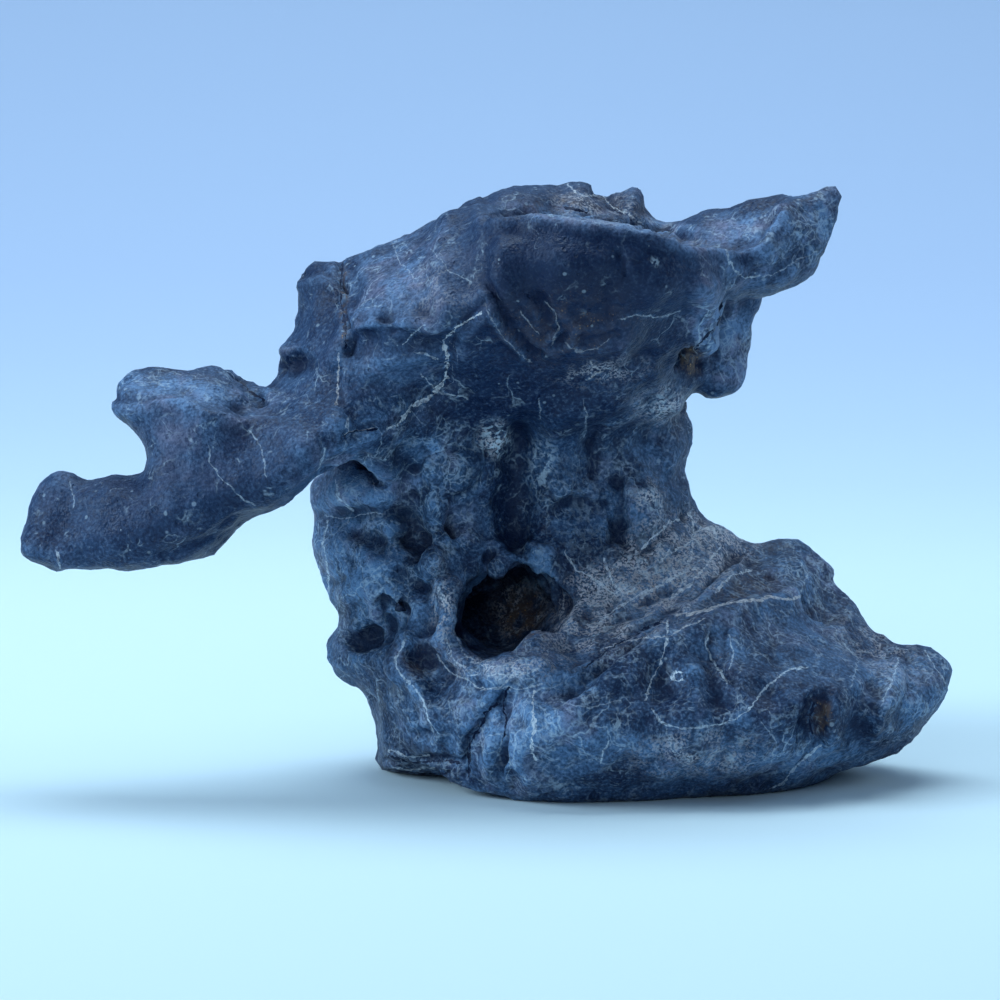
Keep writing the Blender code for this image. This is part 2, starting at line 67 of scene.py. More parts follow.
Range = tuple[float, float, float, float]
Colour = tuple[float, float, float, float]
Path = tuple[Pair, ...]

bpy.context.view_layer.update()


class Carve(Enum):
    """How a stroke shapes the skin across its path."""

    ROUND = "a bump or hollow, round across"
    LEDGE = "the left side of the path stands up and the right side drops"
    CRACK = "a narrow V"


class Mark(Enum):
    """What a patch on the sheet is for: a paint, or how the skin is worked. The value names its attribute.

    Soft places are evened out and keep no attribute, and calm ones are both evened and painted.
    """

    PALE = "pale"
    RUST = "rust"
    # a pale film on the stone, also painted light on some lit tops and faces
    PATINA_AND_PAINTED_LIGHT = "patina_and_painted_light"
    DUST = "dust"
    # painted shade: patches darkened toward the dark colour where shade falls
    PAINTED_SHADE = "painted_shade"
    SOFT = "soft"
    CALM = "calm"


PAINTS = tuple(kind for kind in Mark if kind is not Mark.SOFT)


@dataclass(frozen=True)
class Stroke:
    """A carved mark: its path on the sheet, its reach across and its height, below zero to cut in."""

    path: Path
    reach: float
    height: float
    shape: Carve = Carve.ROUND


@dataclass(frozen=True)
class Vein:
    """A line on the stone: its path on the sheet, its width, and how warm it is.

    A vein is white at 0 and rusty at 1, and at -1 it is an open crack painted dark: painted shade in its
    gap.
    """

    path: Path
    width: float
    warmth: float = 0.0


@dataclass(frozen=True)
class Patch:
    """A patch: its centre and half sizes on the sheet, its strength, and its turn in degrees."""

    centre: Pair
    half: Pair
    strength: float = 1.0
    turn: float = 0.0


@dataclass(frozen=True)
class Sheet:
    """The flat map of the near side: a perspective view from one point onto an upright, tilted plane.

    Its units are fine: scale of them make a millimetre. They run to the right and down from its top left.
    """

    eye: Triple = (1.46, -620.0, 104.0)
    tilt: float = 6.0
    distance: float = 600.0
    scale: float = 6.9
    middle: Pair = (500.0, 500.0)

    @property
    def forward(self) -> Array:
        """The unit direction of sight."""
        tilt = math.radians(self.tilt)
        return np.array([0.0, math.cos(tilt), -math.sin(tilt)])

    @property
    def downward(self) -> Array:
        """The sheet's own down direction."""
        tilt = math.radians(self.tilt)
        return -np.array([0.0, math.sin(tilt), math.cos(tilt)])

    def flatten(self, points: Array) -> tuple[Array, Array]:
        """Lays points on the sheet.

        Each point's offset from the eye is divided by its depth along the sight, and scaled so that the
        sheet is at life size at the distance.

        Args:
            points: N x 3 places in millimetres.

        Returns:
            N x 2 places on the sheet, in its units, and N depths in millimetres.
        """
        offset = points - np.array(self.eye)
        depth = offset @ self.forward
        flat = np.column_stack([offset[:, 0], offset @ self.downward])
        return np.array(self.middle) + flat * (self.scale * self.distance / depth)[:, None], depth


class Noise:
    """Steady random relief worked out from places alone, so that it is the same at each run.

    Salting makes a salt a starting number, each mixing is a shift and a factor, and far is beyond any seed.
    """

    PRIMES = np.array([73856093, 19349663, 83492791], np.int64)
    SALTING = (40503, 977)
    MIXING = ((15, 739982445), (12, 695872825), (15, 1))
    MASK = np.int64(0xFFFFFFFF)
    FAR = 9.0

    @classmethod
    def scatter(cls, cells: Array, salt: int) -> Array:
        """A random number from 0 to 1 for each cell of a lattice.

        The cell's three whole numbers are multiplied by large primes, added, and mixed by shifts.

        Args:
            cells: N x 3 whole numbers.
            salt: Another number gives another pattern.

        Returns:
            N numbers from 0 to 1.
        """
        times, more = cls.SALTING
        mixed = (cells.astype(np.int64) @ cls.PRIMES + np.int64(salt * times + more)) & cls.MASK
        for shift, factor in cls.MIXING:
            mixed = ((mixed ^ (mixed >> np.int64(shift))) * np.int64(factor)) & cls.MASK
        return mixed.astype(float) / float(cls.MASK)

    @classmethod
    def lumps(cls, points: Array, size: float, salt: int = 0) -> Array:
        """Smooth lumps: random lattice values blended by eased weights.

        Args:
            points: N x 3 places.
            size: The lattice's step.
            salt: Another number gives another pattern.

        Returns:
            N heights from -1 to 1.
        """
        spot = points / size
        corner = np.floor(spot)
        part = spot - corner
        ease = part**3 * (part * (6 * part - 15) + 10)
        total = np.zeros(len(points))
        for offset in product((0, 1), repeat=3):
            weight = np.prod(np.where(offset, ease, 1 - ease), axis=1)
            total += weight * cls.scatter(corner + offset, salt)
        return 2 * total - 1

    @classmethod
    def rubble(cls, points: Array, size: float, octaves: int, salt: int = 0) -> Array:
        """Lumps on lumps: each octave is half the size and half the height of the one before."""
        return sum(cls.lumps(points, size / 2**step, salt + step) / 2**step for step in range(octaves))

    @classmethod
    def warped(cls, points: Array, size: float, amount: float, salt: int = 0) -> Array:
        """Points pushed about by lumps of a size, by up to an amount along each axis."""
        push = [cls.lumps(points, size, salt + 11 * axis) for axis in range(points.shape[1])]
        return points + amount * np.column_stack(push)

    @classmethod
    def cells(cls, points: Array, size: float, salt: int = 0, flat_sided: bool = False) -> Array:
        """Distances to the nearest of seeds scattered one to a lattice cell.

        A round distance is the root of the squares, and a flat-sided one the sum of the sizes, along the
        axes, which makes low pyramids with plane sides.

        Args:
            points: N x 3 places.
            size: The lattice's step.
            salt: Another number gives another pattern.
            flat_sided: Whether the distance is the flat-sided one.

        Returns:
            The distances, as shares of the step.
        """
        spot = points / size
        corner = np.floor(spot)
        nearest = np.full(len(points), cls.FAR)
        for offset in product((-1, 0, 1), repeat=3):
            home = corner + offset
            seed = home + np.column_stack([cls.scatter(home, salt + 7 * axis) for axis in range(3)])
            gap = np.linalg.norm(spot - seed, ord=1 if flat_sided else 2, axis=1)
            nearest = np.minimum(nearest, gap)
        return nearest


def eased(share: Array) -> Array:
    """The S-curve from 0 to 1: three times the square less twice the cube of the clipped share."""
    held = np.clip(share, 0, 1)
    return held * held * (3 - 2 * held)


def from_path(spots: Array, path: Path) -> tuple[Array, Array, Array]:
    """Measures flat spots against a path.

    Each spot is dropped square onto each straight piece, and the nearest piece wins.

    Args:
        spots: N x 2 places on the sheet.
        path: The corners of the path, or its one point.

    Returns:
        The distance to the path, the side of it (1 left, -1 right), and how far past its end the spot lies.
    """
    corners = np.array(path, float)
    if len(corners) == 1:
        return np.linalg.norm(spots - corners[0], axis=1), np.ones(len(spots)), np.zeros(len(spots))
    distance = np.full(len(spots), np.inf)
    side, past = np.ones(len(spots)), np.zeros(len(spots))
    last = len(corners) - 2
    for place, (start, end) in enumerate(zip(corners[:-1], corners[1:])):
        run = end - start
        length = np.linalg.norm(run)
        offset = spots - start
        along = offset @ run / length
        across = (run[0] * offset[:, 1] - run[1] * offset[:, 0]) / length
        short = np.maximum(-along, 0)
        over = np.maximum(along - length, 0)
        gap = np.hypot(across, short + over)
        closer = gap < distance
        distance[closer] = gap[closer]
        side[closer] = np.where(across[closer] < 0, -1, 1)
        beyond = (short if place == 0 else 0) + (over if place == last else 0)
        past[closer] = np.broadcast_to(beyond, gap.shape)[closer]
    return distance, side, past


class Skin:
    """The rock's visible skin: one even, closed mesh, held as arrays while it is carved.

    Above is how free each point is to move, from 0 on the sawn underside to 1.
    """

    STEPS = (0.5, -0.52)

    def __init__(self, obj: Object) -> None:
        """Reads the mesh of an object.

        Args:
            obj: An object at the origin, whose mesh is in metres.
        """
        self.obj = obj
        self.mesh = obj.data
        self.points = self.read(self.mesh.vertices, "co", 3) / MM
        self.edges = self.read(self.mesh.edges, "vertices", 2, np.int32)
        self.ends = np.bincount(self.edges.ravel(), minlength=len(self.points)).astype(float)
        self.above = np.ones(len(self.points))

    @staticmethod
    def read(items: bpy.types.bpy_prop_collection, name: str, width: int, kind: type = np.float32) -> Array:
        """Reads one property of a mesh's items.

        Args:
            items: The mesh's points, edges or faces.
            name: The property's name.
            width: How many numbers each item has.
            kind: Their type.

        Returns:
            N x width numbers.
        """
        flat = np.empty(len(items) * width, kind)
        items.foreach_get(name, flat)
        return flat.reshape(-1, width).astype(float if kind is np.float32 else kind)

    def store(self) -> None:
        """Writes the points back to the mesh."""
        self.mesh.vertices.foreach_set("co", (self.points * MM).astype(np.float32).ravel())
        self.mesh.update()

    def outwards(self) -> Array:
        """The unit normal at each point."""
        self.store()
        return self.read(self.mesh.vertex_normals, "vector", 3)

    def push(self, shift: Array) -> None:
        """Moves each point along its normal by its shift in millimetres, as far as it is free to."""
        self.points += self.outwards() * (shift * self.above)[:, None]

    def averaged(self, values: Array) -> Array:
        """The mean of each point's neighbours.

        Args:
            values: N x K numbers on the points.

        Returns:
            N x K means.
        """
        total = np.empty_like(values)
        one, two = self.edges.T
        for column in range(values.shape[1]):
            total[:, column] = np.bincount(one, values[two, column], len(values))
            total[:, column] += np.bincount(two, values[one, column], len(values))
        return total / self.ends[:, None]

    def smoothed(self, values: Array, repeats: int) -> Array:
        """Moves values half way to their neighbours' mean a number of times.

        Args:
            values: N x K numbers on the points.
            repeats: How many times.

        Returns:
            N x K numbers.
        """
        for _ in range(repeats):
            values = (values + self.averaged(values)) / 2
        return values

    def relax(self, repeats: int) -> None:
        """Smooths the surface without shrinking it: each step in is followed by a slightly longer step out.

        Args:
            repeats: How many pairs of steps are made.
        """
        for _ in range(repeats):
            for share in self.STEPS:
                self.points += share * (self.averaged(self.points) - self.points)

    def hollowness(self, repeats: int) -> Array:
        """How many millimetres each point lies inside its smoothed surroundings, below 0 on crests."""
        inwards = self.smoothed(self.points, repeats) - self.points
        return np.sum(inwards * self.outwards(), axis=1)

    def write(self, name: str, values: Array) -> None:
        """Keeps one number, or a vector, per point as an attribute.

        Args:
            name: The attribute's name.
            values: N numbers or N x 3 numbers.
        """
        vector = values.ndim == 2
        layer = self.mesh.attributes.new(name, "FLOAT_VECTOR" if vector else "FLOAT", "POINT")
        layer.data.foreach_set("vector" if vector else "value", values.astype(np.float32).ravel())


# lines that are carved and veined alike
PATHS: dict[str, Path] = {
    "base_edge": ((405, 640), (395, 665), (418, 690), (425, 705), (432, 735)),
    "dark_crack": ((500, 703), (485, 715), (481, 726), (470, 741), (467, 775)),
    "base_strata": ((384, 757), (412, 763), (440, 759), (462, 762)),
    "base_strata_low": ((388, 770), (420, 775), (450, 771)),
    "foot_groove": ((822, 745), (800, 762), (785, 780), (768, 790)),
    "foot_end": ((925, 650), (935, 668), (945, 685)),
    "lens_right": ((731, 635), (733, 652), (727, 670)),
}

CARVINGS: dict[str, Stroke] = {
    # the lobe under the wing
    "lobe_lip": Stroke(((340, 468), (365, 462), (378, 480), (400, 486), (412, 470), (418, 442)), 1.2, -0.8),
    "lobe_ledge": Stroke(((320, 515), (345, 513), (385, 512), (400, 512)), 1.3, -0.7),
    "lobe_slant": Stroke(((340, 525), (362, 535), (385, 545)), 1.2, -0.7),
    "lobe_great_pit": Stroke(((400, 496), (412, 520), (426, 542)), 2.4, -1.0),
    "lobe_great_pit_floor": Stroke(((424, 540),), 1.5, -0.9),
    "lobe_great_pit_fill": Stroke(((404, 522),), 1.4, 1.0),
    "lobe_right_fill": Stroke(((456, 522), (464, 530)), 1.8, 1.2),
    "lobe_middle_fill": Stroke(((416, 580), (422, 578)), 2.2, 1.3),
    "ringed_pit": Stroke(((488, 555),), 0.9, -0.5),
    "pit_ring": Stroke(((474, 556), (480, 543), (492, 541), (502, 551), (499, 566)), 0.7, 0.35),
    "lobe_tall_pit": Stroke(((382, 606), (380, 616), (386, 626)), 1.4, -1.2),
    "lobe_tall_pit_fill": Stroke(((396, 600),), 1.7, 1.2),
    "lobe_tall_pit_brow": Stroke(((368, 600), (384, 592), (400, 601)), 1.0, 0.5),
    "lobe_low_pit": Stroke(((345, 640), (356, 644), (369, 640)), 1.3, -1.2),
    "lobe_bulge": Stroke(((438, 452), (450, 468)), 4.2, 2.2),
    "lobe_bulge_fold": Stroke(((420, 470), (430, 490), (450, 498), (470, 486), (482, 458)), 1.0, -1.0),
    "cave_fold": Stroke(((430, 560), (442, 580), (447, 600), (443, 620), (438, 640)), 1.3, 0.9),
    "cave_brow_left": Stroke(((462, 588), (474, 578), (490, 574)), 1.8, 1.6),
    "cave_funnel": Stroke(((522, 566), (540, 584), (550, 602)), 2.2, -1.4),
    "cave_sill": Stroke(((462, 640), (478, 654), (500, 660)), 1.3, 0.7),
    "cave_fold_foot": Stroke(((418, 585), (426, 606), (424, 628)), 1.3, -0.6),
    "lobe_top_fill": Stroke(((348, 480), (368, 476), (384, 486)), 3.2, 2.0),
    "lobe_spine": Stroke(((438, 495), (440, 540), (432, 560)), 1.1, 0.6),
    "lobe_edge_knob": Stroke(((328, 548),), 1.8, 0.6),
    "lobe_edge_notch": Stroke(((322, 586), (338, 582)), 1.2, -0.7),
    "lobe_low_knob": Stroke(((352, 590),), 1.8, 0.6),
    "lobe_top_knob": Stroke(((352, 488),), 1.9, 0.6),
    # folds, crack and facets of the base on the left
    "base_ridge": Stroke(PATHS["base_edge"], 1.2, 0.7),
    "base_recess": Stroke(((402, 650), (424, 663), (438, 673)), 2.1, -0.6),
    "arch": Stroke(((426, 733),), 1.3, -1.4),
    "swirl_outer": Stroke(((440, 692), (449, 670), (474, 662), (494, 674), (500, 698)), 0.7, -0.3),
    "swirl_inner": Stroke(((452, 694), (459, 680), (474, 675), (487, 688)), 0.6, -0.3),
    "swirl_lower": Stroke(((440, 712), (457, 722), (478, 717)), 0.7, -0.3),
    "dark_crack": Stroke(PATHS["dark_crack"], 0.9, -1.3, Carve.CRACK),
    "great_fold": Stroke(((505, 683), (505, 700), (508, 720), (502, 745), (500, 780)), 1.1, -0.7),
    "fold_fill": Stroke(((510, 735), (508, 765)), 2.4, 1.5),
    "fold_brow": Stroke(((507, 683), (519, 677), (531, 679), (546, 688)), 1.1, 0.6),
    "fold_cheek": Stroke(((524, 700), (525, 745)), 1.9, 0.5),
    "base_crease": Stroke(
        ((582, 670), (600, 655), (640, 631), (680, 605), (735, 560)), 1.6, 0.5, Carve.LEDGE
    ),
    "base_rib": Stroke(((560, 722), (553, 738), (545, 752)), 1.4, 0.45),
    "base_rib_right": Stroke(((602, 718), (594, 736), (585, 752)), 1.4, 0.45),
    "base_strata": Stroke(PATHS["base_strata"], 0.6, -1.0, Carve.CRACK),
    "base_strata_low": Stroke(PATHS["base_strata_low"], 0.6, -1.0, Carve.CRACK),
    "base_lip": Stroke(((446, 655), (478, 672), (512, 668), (541, 672)), 1.2, 0.5),
    # the foot
    "foot_hollow": Stroke(((825, 615),), 2.3, -1.0),
    "rust_pit": Stroke(((820, 708), (818, 726)), 2.1, -1.5),
    "rust_pit_brow": Stroke(((808, 693), (822, 685), (835, 693)), 1.0, 0.5),
    "foot_groove": Stroke(PATHS["foot_groove"], 1.0, -0.7),
    "foot_valley": Stroke(((872, 688), (868, 716), (865, 745)), 1.4, -0.7),
    "foot_ridge": Stroke(((898, 668), (893, 690), (885, 706)), 1.2, 0.6),
    "foot_end_line": Stroke(PATHS["foot_end"], 0.9, -0.4),
    "lens_left": Stroke(((710, 635), (708, 645), (712, 660), (728, 685)), 1.0, 0.35, Carve.LEDGE),
    "lens_right": Stroke(PATHS["lens_right"], 1.0, -0.3, Carve.LEDGE),
    "foot_dish": Stroke(((675, 700),), 4.0, -0.6),
    "foot_dish_right": Stroke(((770, 650),), 3.4, -0.6),
    "foot_step": Stroke(((790, 598), (812, 580), (842, 566)), 1.2, 0.5),
    # the crown on the left
    "face_top_edge": Stroke(((300, 280), (325, 275), (340, 286)), 1.3, 0.5, Carve.LEDGE),
    "face_dimple": Stroke(((286, 367), (304, 362)), 1.8, -0.9),
    "face_knob": Stroke(((284, 352),), 2.2, 0.5),
    "face_nick": Stroke(((276, 383),), 1.4, -0.6),
    "rust_crack": Stroke(((343, 262), (342, 300), (346, 350)), 0.6, -1.1, Carve.CRACK),
    "rust_crack_foot": Stroke(((340, 365), (338, 385), (336, 405)), 0.7, -0.4),
    "shelf": Stroke(
        ((350, 324), (378, 317), (404, 323), (424, 319), (442, 330), (462, 325), (480, 311)),
        1.5, 0.35, Carve.LEDGE,
    ),
    "shelf_break": Stroke(((386, 314), (388, 334)), 1.3, -0.7),
    "shelf_break_right": Stroke(((428, 334), (436, 322)), 1.2, 0.6),
    "shelf_recess": Stroke(((362, 340), (400, 344), (440, 346)), 2.4, -1.0),
    "seam": Stroke(
        ((480, 310), (465, 322), (450, 336), (448, 368), (446, 382), (412, 405), (390, 428)), 0.7, -0.4
    ),
    "wing_crack": Stroke(((378, 428), (360, 432), (344, 436)), 0.8, -0.7, Carve.CRACK),
    "face_fold": Stroke(((442, 186), (441, 240), (438, 300)), 1.6, 0.45),
    "face_fold_right": Stroke(((484, 205), (486, 240), (482, 300)), 1.4, 0.12, Carve.LEDGE),
    "face_dish": Stroke(((482, 235), (480, 280)), 3.0, -0.4),
    "face_dish_left": Stroke(((392, 262),), 3.4, -0.5),
    "brown_nick": Stroke(((490, 286), (498, 298), (512, 322)), 1.0, -0.8),
    "brown_nick_low": Stroke(((508, 330), (521, 344), (540, 352)), 0.9, -0.7),
    "brown_nick_right": Stroke(((540, 300), (548, 314), (545, 330)), 0.9, -0.7),
    # the crown on the right
    "rim": Stroke(((500, 221), (540, 218), (600, 222), (640, 230), (668, 239)), 1.4, 0.8, Carve.LEDGE),
    "rim_right": Stroke(
        ((655, 235), (690, 245), (730, 250), (760, 243), (783, 216)), 1.2, 0.4, Carve.LEDGE
    ),
    "crest_groove": Stroke(((595, 190), (606, 206), (622, 213), (642, 226)), 0.9, -1.1),
    "crest_knob": Stroke(((600, 174),), 1.5, 1.6),
    "horn_tip": Stroke(((836, 192), (842, 190)), 1.3, 0.7),
    "crest_knob_right": Stroke(((634, 194),), 1.7, 1.2),
    "brow_crease": Stroke(((620, 255), (622, 273)), 0.7, -0.5),
    "brow_scratch": Stroke(((604, 286), (606, 321)), 0.5, -0.3),
    "brow_scratch_right": Stroke(((612, 284), (614, 322)), 0.5, -0.3),
    "flap_fill": Stroke(((706, 296), (698, 326)), 2.4, 2.0),
    "flap_fill_low": Stroke(((692, 336), (682, 368), (672, 390)), 2.6, 1.7),
    "flap_seam": Stroke(((728, 307), (716, 324), (704, 338), (696, 350)), 0.7, -1.3, Carve.CRACK),
    "ochre_hole": Stroke(((690, 356), (691, 365)), 1.3, -1.3),
    "brow_hollow": Stroke(((650, 362),), 1.9, -0.7),
    "horn_dish": Stroke(((742, 300), (756, 275)), 2.2, -0.6),
    "horn_fold": Stroke(((752, 280), (778, 274), (798, 259), (820, 250)), 1.1, 0.25),
    "face_swell": Stroke(((585, 300),), 4.0, 0.6),
    "crest_plate": Stroke(((455, 196), (500, 190), (540, 188)), 1.8, 0.4),
    "crest_trough": Stroke(((524, 208), (545, 204), (566, 206)), 0.9, -0.6),
    "brow_nook": Stroke(((560, 340), (590, 346), (610, 334)), 1.1, -0.8),
    "brow_finger": Stroke(((484, 296), (494, 318), (508, 340), (524, 354)), 0.9, 1.0),
    "brow_finger_right": Stroke(((528, 300), (542, 322), (556, 334)), 0.9, 0.8),
    "brow_knuckle": Stroke(((566, 318), (578, 330), (574, 346)), 0.9, 0.8),
    "brow_ring": Stroke(((598, 350), (610, 342), (622, 348), (618, 360)), 0.8, 0.4),
    # the wing
    "wing_top_edge": Stroke(((120, 401), (180, 401), (200, 408), (236, 420)), 1.6, 0.5, Carve.LEDGE),
    "wing_shelf": Stroke(((240, 395), (290, 407), (336, 421)), 1.4, 0.6),
    "wing_notch": Stroke(((232, 367), (240, 378), (246, 389), (263, 401)), 1.2, -1.0),
    "wing_low_ridge": Stroke(((165, 558), (190, 552), (210, 548), (226, 535), (241, 525)), 0.9, -0.5),
    "wing_dish": Stroke(((190, 470), (235, 455)), 3.2, -0.6),
    "wing_tip_dish": Stroke(((70, 520),), 2.6, -0.6),
    "wing_fold": Stroke(((135, 440), (160, 470), (170, 505)), 1.6, 0.5),
    "wing_root_fold": Stroke(((290, 450), (330, 455), (372, 440)), 1.4, 0.5),
    # the neck
    "neck_valley": Stroke(((517, 432), (518, 480), (515, 535)), 2.0, -0.8),
    "neck_shelf": Stroke(((560, 503), (601, 503)), 0.9, -0.8),
    "neck_slot": Stroke(((592, 441), (593, 470)), 1.1, -0.7),
    "neck_gully": Stroke(((617, 480), (617, 545)), 1.2, -0.9),
    "neck_knob": Stroke(((647, 494), (648, 516)), 1.6, 0.7),
    "crystal_ledge": Stroke(((514, 556), (530, 546), (546, 550)), 1.0, 0.6),
    "neck_fold": Stroke(((556, 425), (553, 470), (560, 495)), 1.5, 0.5),
    "neck_edge": Stroke(((672, 405), (676, 450), (668, 500)), 1.5, 0.5),
    "slope_scratch": Stroke(((640, 550), (680, 520)), 0.7, -0.35),
    "slope_scratch_low": Stroke(((660, 562), (702, 526)), 0.7, -0.35),
    "slope_groove": Stroke(((690, 600), (712, 578), (730, 560)), 0.8, -0.5),
    "slope_groove_left": Stroke(((600, 640), (632, 612), (668, 590)), 0.9, -0.5),
    "slope_knob": Stroke(((720, 535),), 1.6, 0.5),
    "slope_dish": Stroke(((590, 600),), 2.6, -0.5),
}

VEINS: dict[str, Vein] = {
    # warmth -1: open cracks painted dark, painted shade in their gaps
    "base_strata_crack": Vein(PATHS["base_strata"], 0.4, -1.0),
    "base_strata_crack_low": Vein(PATHS["base_strata_low"], 0.4, -1.0),
    "flap_seam": Vein(((729, 306), (716, 324), (704, 338), (696, 350)), 0.55, -1.0),
    "rust_crack": Vein(((343, 258), (342, 300), (345, 330), (346, 350)), 0.5, -1.0),
    "wing_crack": Vein(((378, 428), (366, 431), (352, 434), (342, 437)), 0.45, -1.0),
    "dark_crack": Vein(PATHS["dark_crack"], 0.6, -1.0),
    "fold_crack": Vein(((506, 688), (505, 705), (508, 722), (503, 745)), 0.5, -1.0),
    "crest_crack": Vein(((594, 190), (606, 206), (622, 213), (642, 226)), 0.5, -1.0),
    "crest_shadow": Vein(((524, 209), (545, 206), (566, 207), (588, 211)), 0.5, -1.0),
    "wing_notch": Vein(((232, 367), (240, 378), (248, 390), (264, 400)), 0.5, -1.0),
    "foot_crack": Vein(((812, 700), (809, 715), (812, 734)), 0.5, -1.0),
    "crack_left": Vein(((584, 668), (612, 650), (640, 632), (664, 618)), 0.35, -1.0),
    "brow_one": Vein(((485, 300), (492, 318), (500, 335), (515, 352), (532, 362)), 0.14, 1.0),
    "brow_two": Vein(((522, 312), (530, 325), (541, 334)), 0.14, 1.0),
    "brow_three": Vein(((545, 300), (556, 312), (560, 330), (552, 346)), 0.14, 1.0),
    "brow_four": Vein(((565, 342), (580, 353), (600, 348), (613, 336)), 0.14, 1.0),
    "brow_five": Vein(((590, 362), (602, 370), (586, 379)), 0.35, 0.8),
    "face_one": Vein(((392, 240), (400, 262), (414, 280)), 0.1, 0.3),
    "face_two": Vein(((430, 250), (446, 270), (470, 282)), 0.1, 0.3),
    "low_left": Vein(((420, 372), (440, 392), (470, 398)), 0.25, 0.2),
    "base_one": Vein(((560, 700), (590, 706), (620, 700)), 0.15, 0.1),
    "base_three": Vein(((480, 690), (500, 688), (520, 668)), 0.3, 0.5),
    "foot_one": Vein(((760, 720), (775, 740), (768, 765)), 0.12, 0.1),
    "foot_two": Vein(((842, 640), (856, 660), (850, 690)), 0.12, 0.1),
    "cave_ring": Vein(((444, 638), (455, 660), (478, 674), (510, 677), (540, 668)), 0.25, 0.4),
    "cave_ring_low": Vein(((436, 652), (450, 674), (478, 688), (512, 690), (546, 680)), 0.25, 0.3),
    "cave_ring_high": Vein(((452, 630), (462, 650), (482, 664), (506, 668)), 0.2, 0.4),
    "lobe_top": Vein(((337, 480), (340, 500), (352, 510)), 0.35),
    "lobe_short": Vein(((375, 478), (378, 490)), 0.3),
    "lobe_level": Vein(((326, 515), (342, 519), (362, 514), (385, 515)), 0.2),
    "lobe_rim": Vein(((331, 520), (322, 545), (327, 575), (324, 610)), 0.35),
    "base_edge": Vein(PATHS["base_edge"], 0.35),
    "base_white": Vein(((534, 688), (533, 725), (535, 762)), 0.65, 0.2),
    "base_fork": Vein(((612, 740), (605, 752), (600, 765)), 0.3),
    "base_strata": Vein(((388, 752), (405, 757), (430, 754)), 0.4, 0.3),
    "base_strata_low": Vein(((390, 768), (410, 771), (436, 766)), 0.35, 0.3),
    "slope_arc": Vein(((676, 615), (700, 611), (720, 606), (740, 602), (770, 598), (800, 596)), 0.75, 0.5),
    "slope_drop": Vein(((667, 620), (665, 650), (660, 665), (650, 685), (643, 700)), 0.6, 0.2),
    "foot_bowl": Vein(((650, 710), (665, 722), (680, 727), (700, 728), (720, 724), (738, 718)), 0.3),
    "foot_rise": Vein(((738, 718), (748, 705), (760, 692), (775, 680), (790, 670), (810, 667)), 0.35),
    "hook": Vein(((683, 671), (676, 670), (673, 676), (676, 681), (683, 680)), 0.6),
    "lens_left": Vein(((710, 635), (708, 645), (712, 660), (722, 675), (728, 685)), 0.3),
    "lens_right": Vein(PATHS["lens_right"], 0.25),
    "foot_low": Vein(PATHS["foot_groove"], 0.4),
    "foot_crest": Vein(((900, 655), (893, 680), (880, 706)), 0.25),
    "foot_end": Vein(PATHS["foot_end"], 0.2),
    "crack_foot": Vein(((340, 352), (341, 365), (338, 385), (336, 405)), 0.3, 0.8),
    "seam_high": Vein(((482, 309), (465, 322), (444, 339)), 0.6, 0.3),
    "seam": Vein(((444, 341), (449, 358), (447, 378), (435, 392), (425, 400), (412, 406)), 0.85, 0.35),
    "seam_low": Vein(((412, 405), (405, 415), (400, 422), (388, 428)), 0.7, 0.3),
    "wing_root": Vein(((375, 428), (360, 432), (345, 435)), 0.5, 0.5),
    "wing_root_branch": Vein(((348, 420), (347, 427), (350, 434)), 0.35, 0.4),
    "shelf_left": Vein(((425, 325), (412, 336), (400, 345)), 0.25),
    "seam_branch": Vein(((415, 356), (428, 355), (440, 358)), 0.25, 0.4),
    "brow": Vein(((620, 318), (640, 316), (665, 315), (682, 314)), 0.2, 0.2),
    "horn_left": Vein(((728, 248), (731, 262), (736, 272), (745, 277), (760, 275)), 0.25, 0.3),
    "horn_right": Vein(((760, 278), (775, 275), (795, 260), (820, 250)), 0.15, 0.2),
    "crest": Vein(((600, 196), (611, 207), (628, 212), (642, 222)), 0.35, 0.5),
    "crest_high": Vein(((566, 184), (580, 196), (600, 200)), 0.3, 0.5),
    "wing_arc": Vein(((208, 445), (211, 465), (222, 480), (240, 495), (258, 505)), 0.15),
    "wing_tip": Vein(((72, 478), (74, 494), (72, 510)), 0.12),
    "wing_end": Vein(((57, 548), (59, 568)), 0.3, 0.4),
    "wing_base": Vein(((325, 445), (322, 460), (316, 470)), 0.3),
    "wing_cross": Vein(((250, 428), (262, 452), (268, 478)), 0.12),
    "neck_arc": Vein(((565, 550), (575, 570), (600, 585), (615, 595), (632, 585)), 0.4, 0.2),
    "neck_right": Vein(((690, 513), (693, 530), (690, 560)), 0.7, 0.25),
    "neck_right_branch": Vein(((694, 532), (705, 528), (715, 528), (718, 540)), 0.6, 0.25),
    "slope_cross": Vein(((600, 652), (634, 640), (668, 634), (705, 618)), 0.35, 0.5),
    "slope_high": Vein(((640, 600), (665, 580), (700, 566)), 0.6, 0.2),
    "slope_streak": Vein(((640, 548), (656, 536), (668, 524), (678, 520)), 0.6, 0.2),
    "slope_streak_mid": Vein(((662, 562), (676, 548), (690, 540), (702, 526)), 0.6, 0.25),
    "slope_streak_low": Vein(((668, 598), (690, 584), (706, 564), (722, 548)), 0.65, 0.25),
    "slope_streak_right": Vein(((716, 592), (732, 578), (752, 572)), 0.55, 0.2),
    "slope_streak_left": Vein(((604, 560), (612, 582), (624, 596), (636, 588)), 0.55, 0.2),
    "slope_streak_far": Vein(((598, 624), (622, 606), (650, 590)), 0.5, 0.2),
    "neck_line": Vein(((584, 398), (586, 420), (582, 440)), 0.15, 0.2),
    "neck_line_left": Vein(((540, 398), (541, 420)), 0.12, 0.2),
    "foot_back": Vein(((800, 560), (806, 578), (800, 598)), 0.12),
}

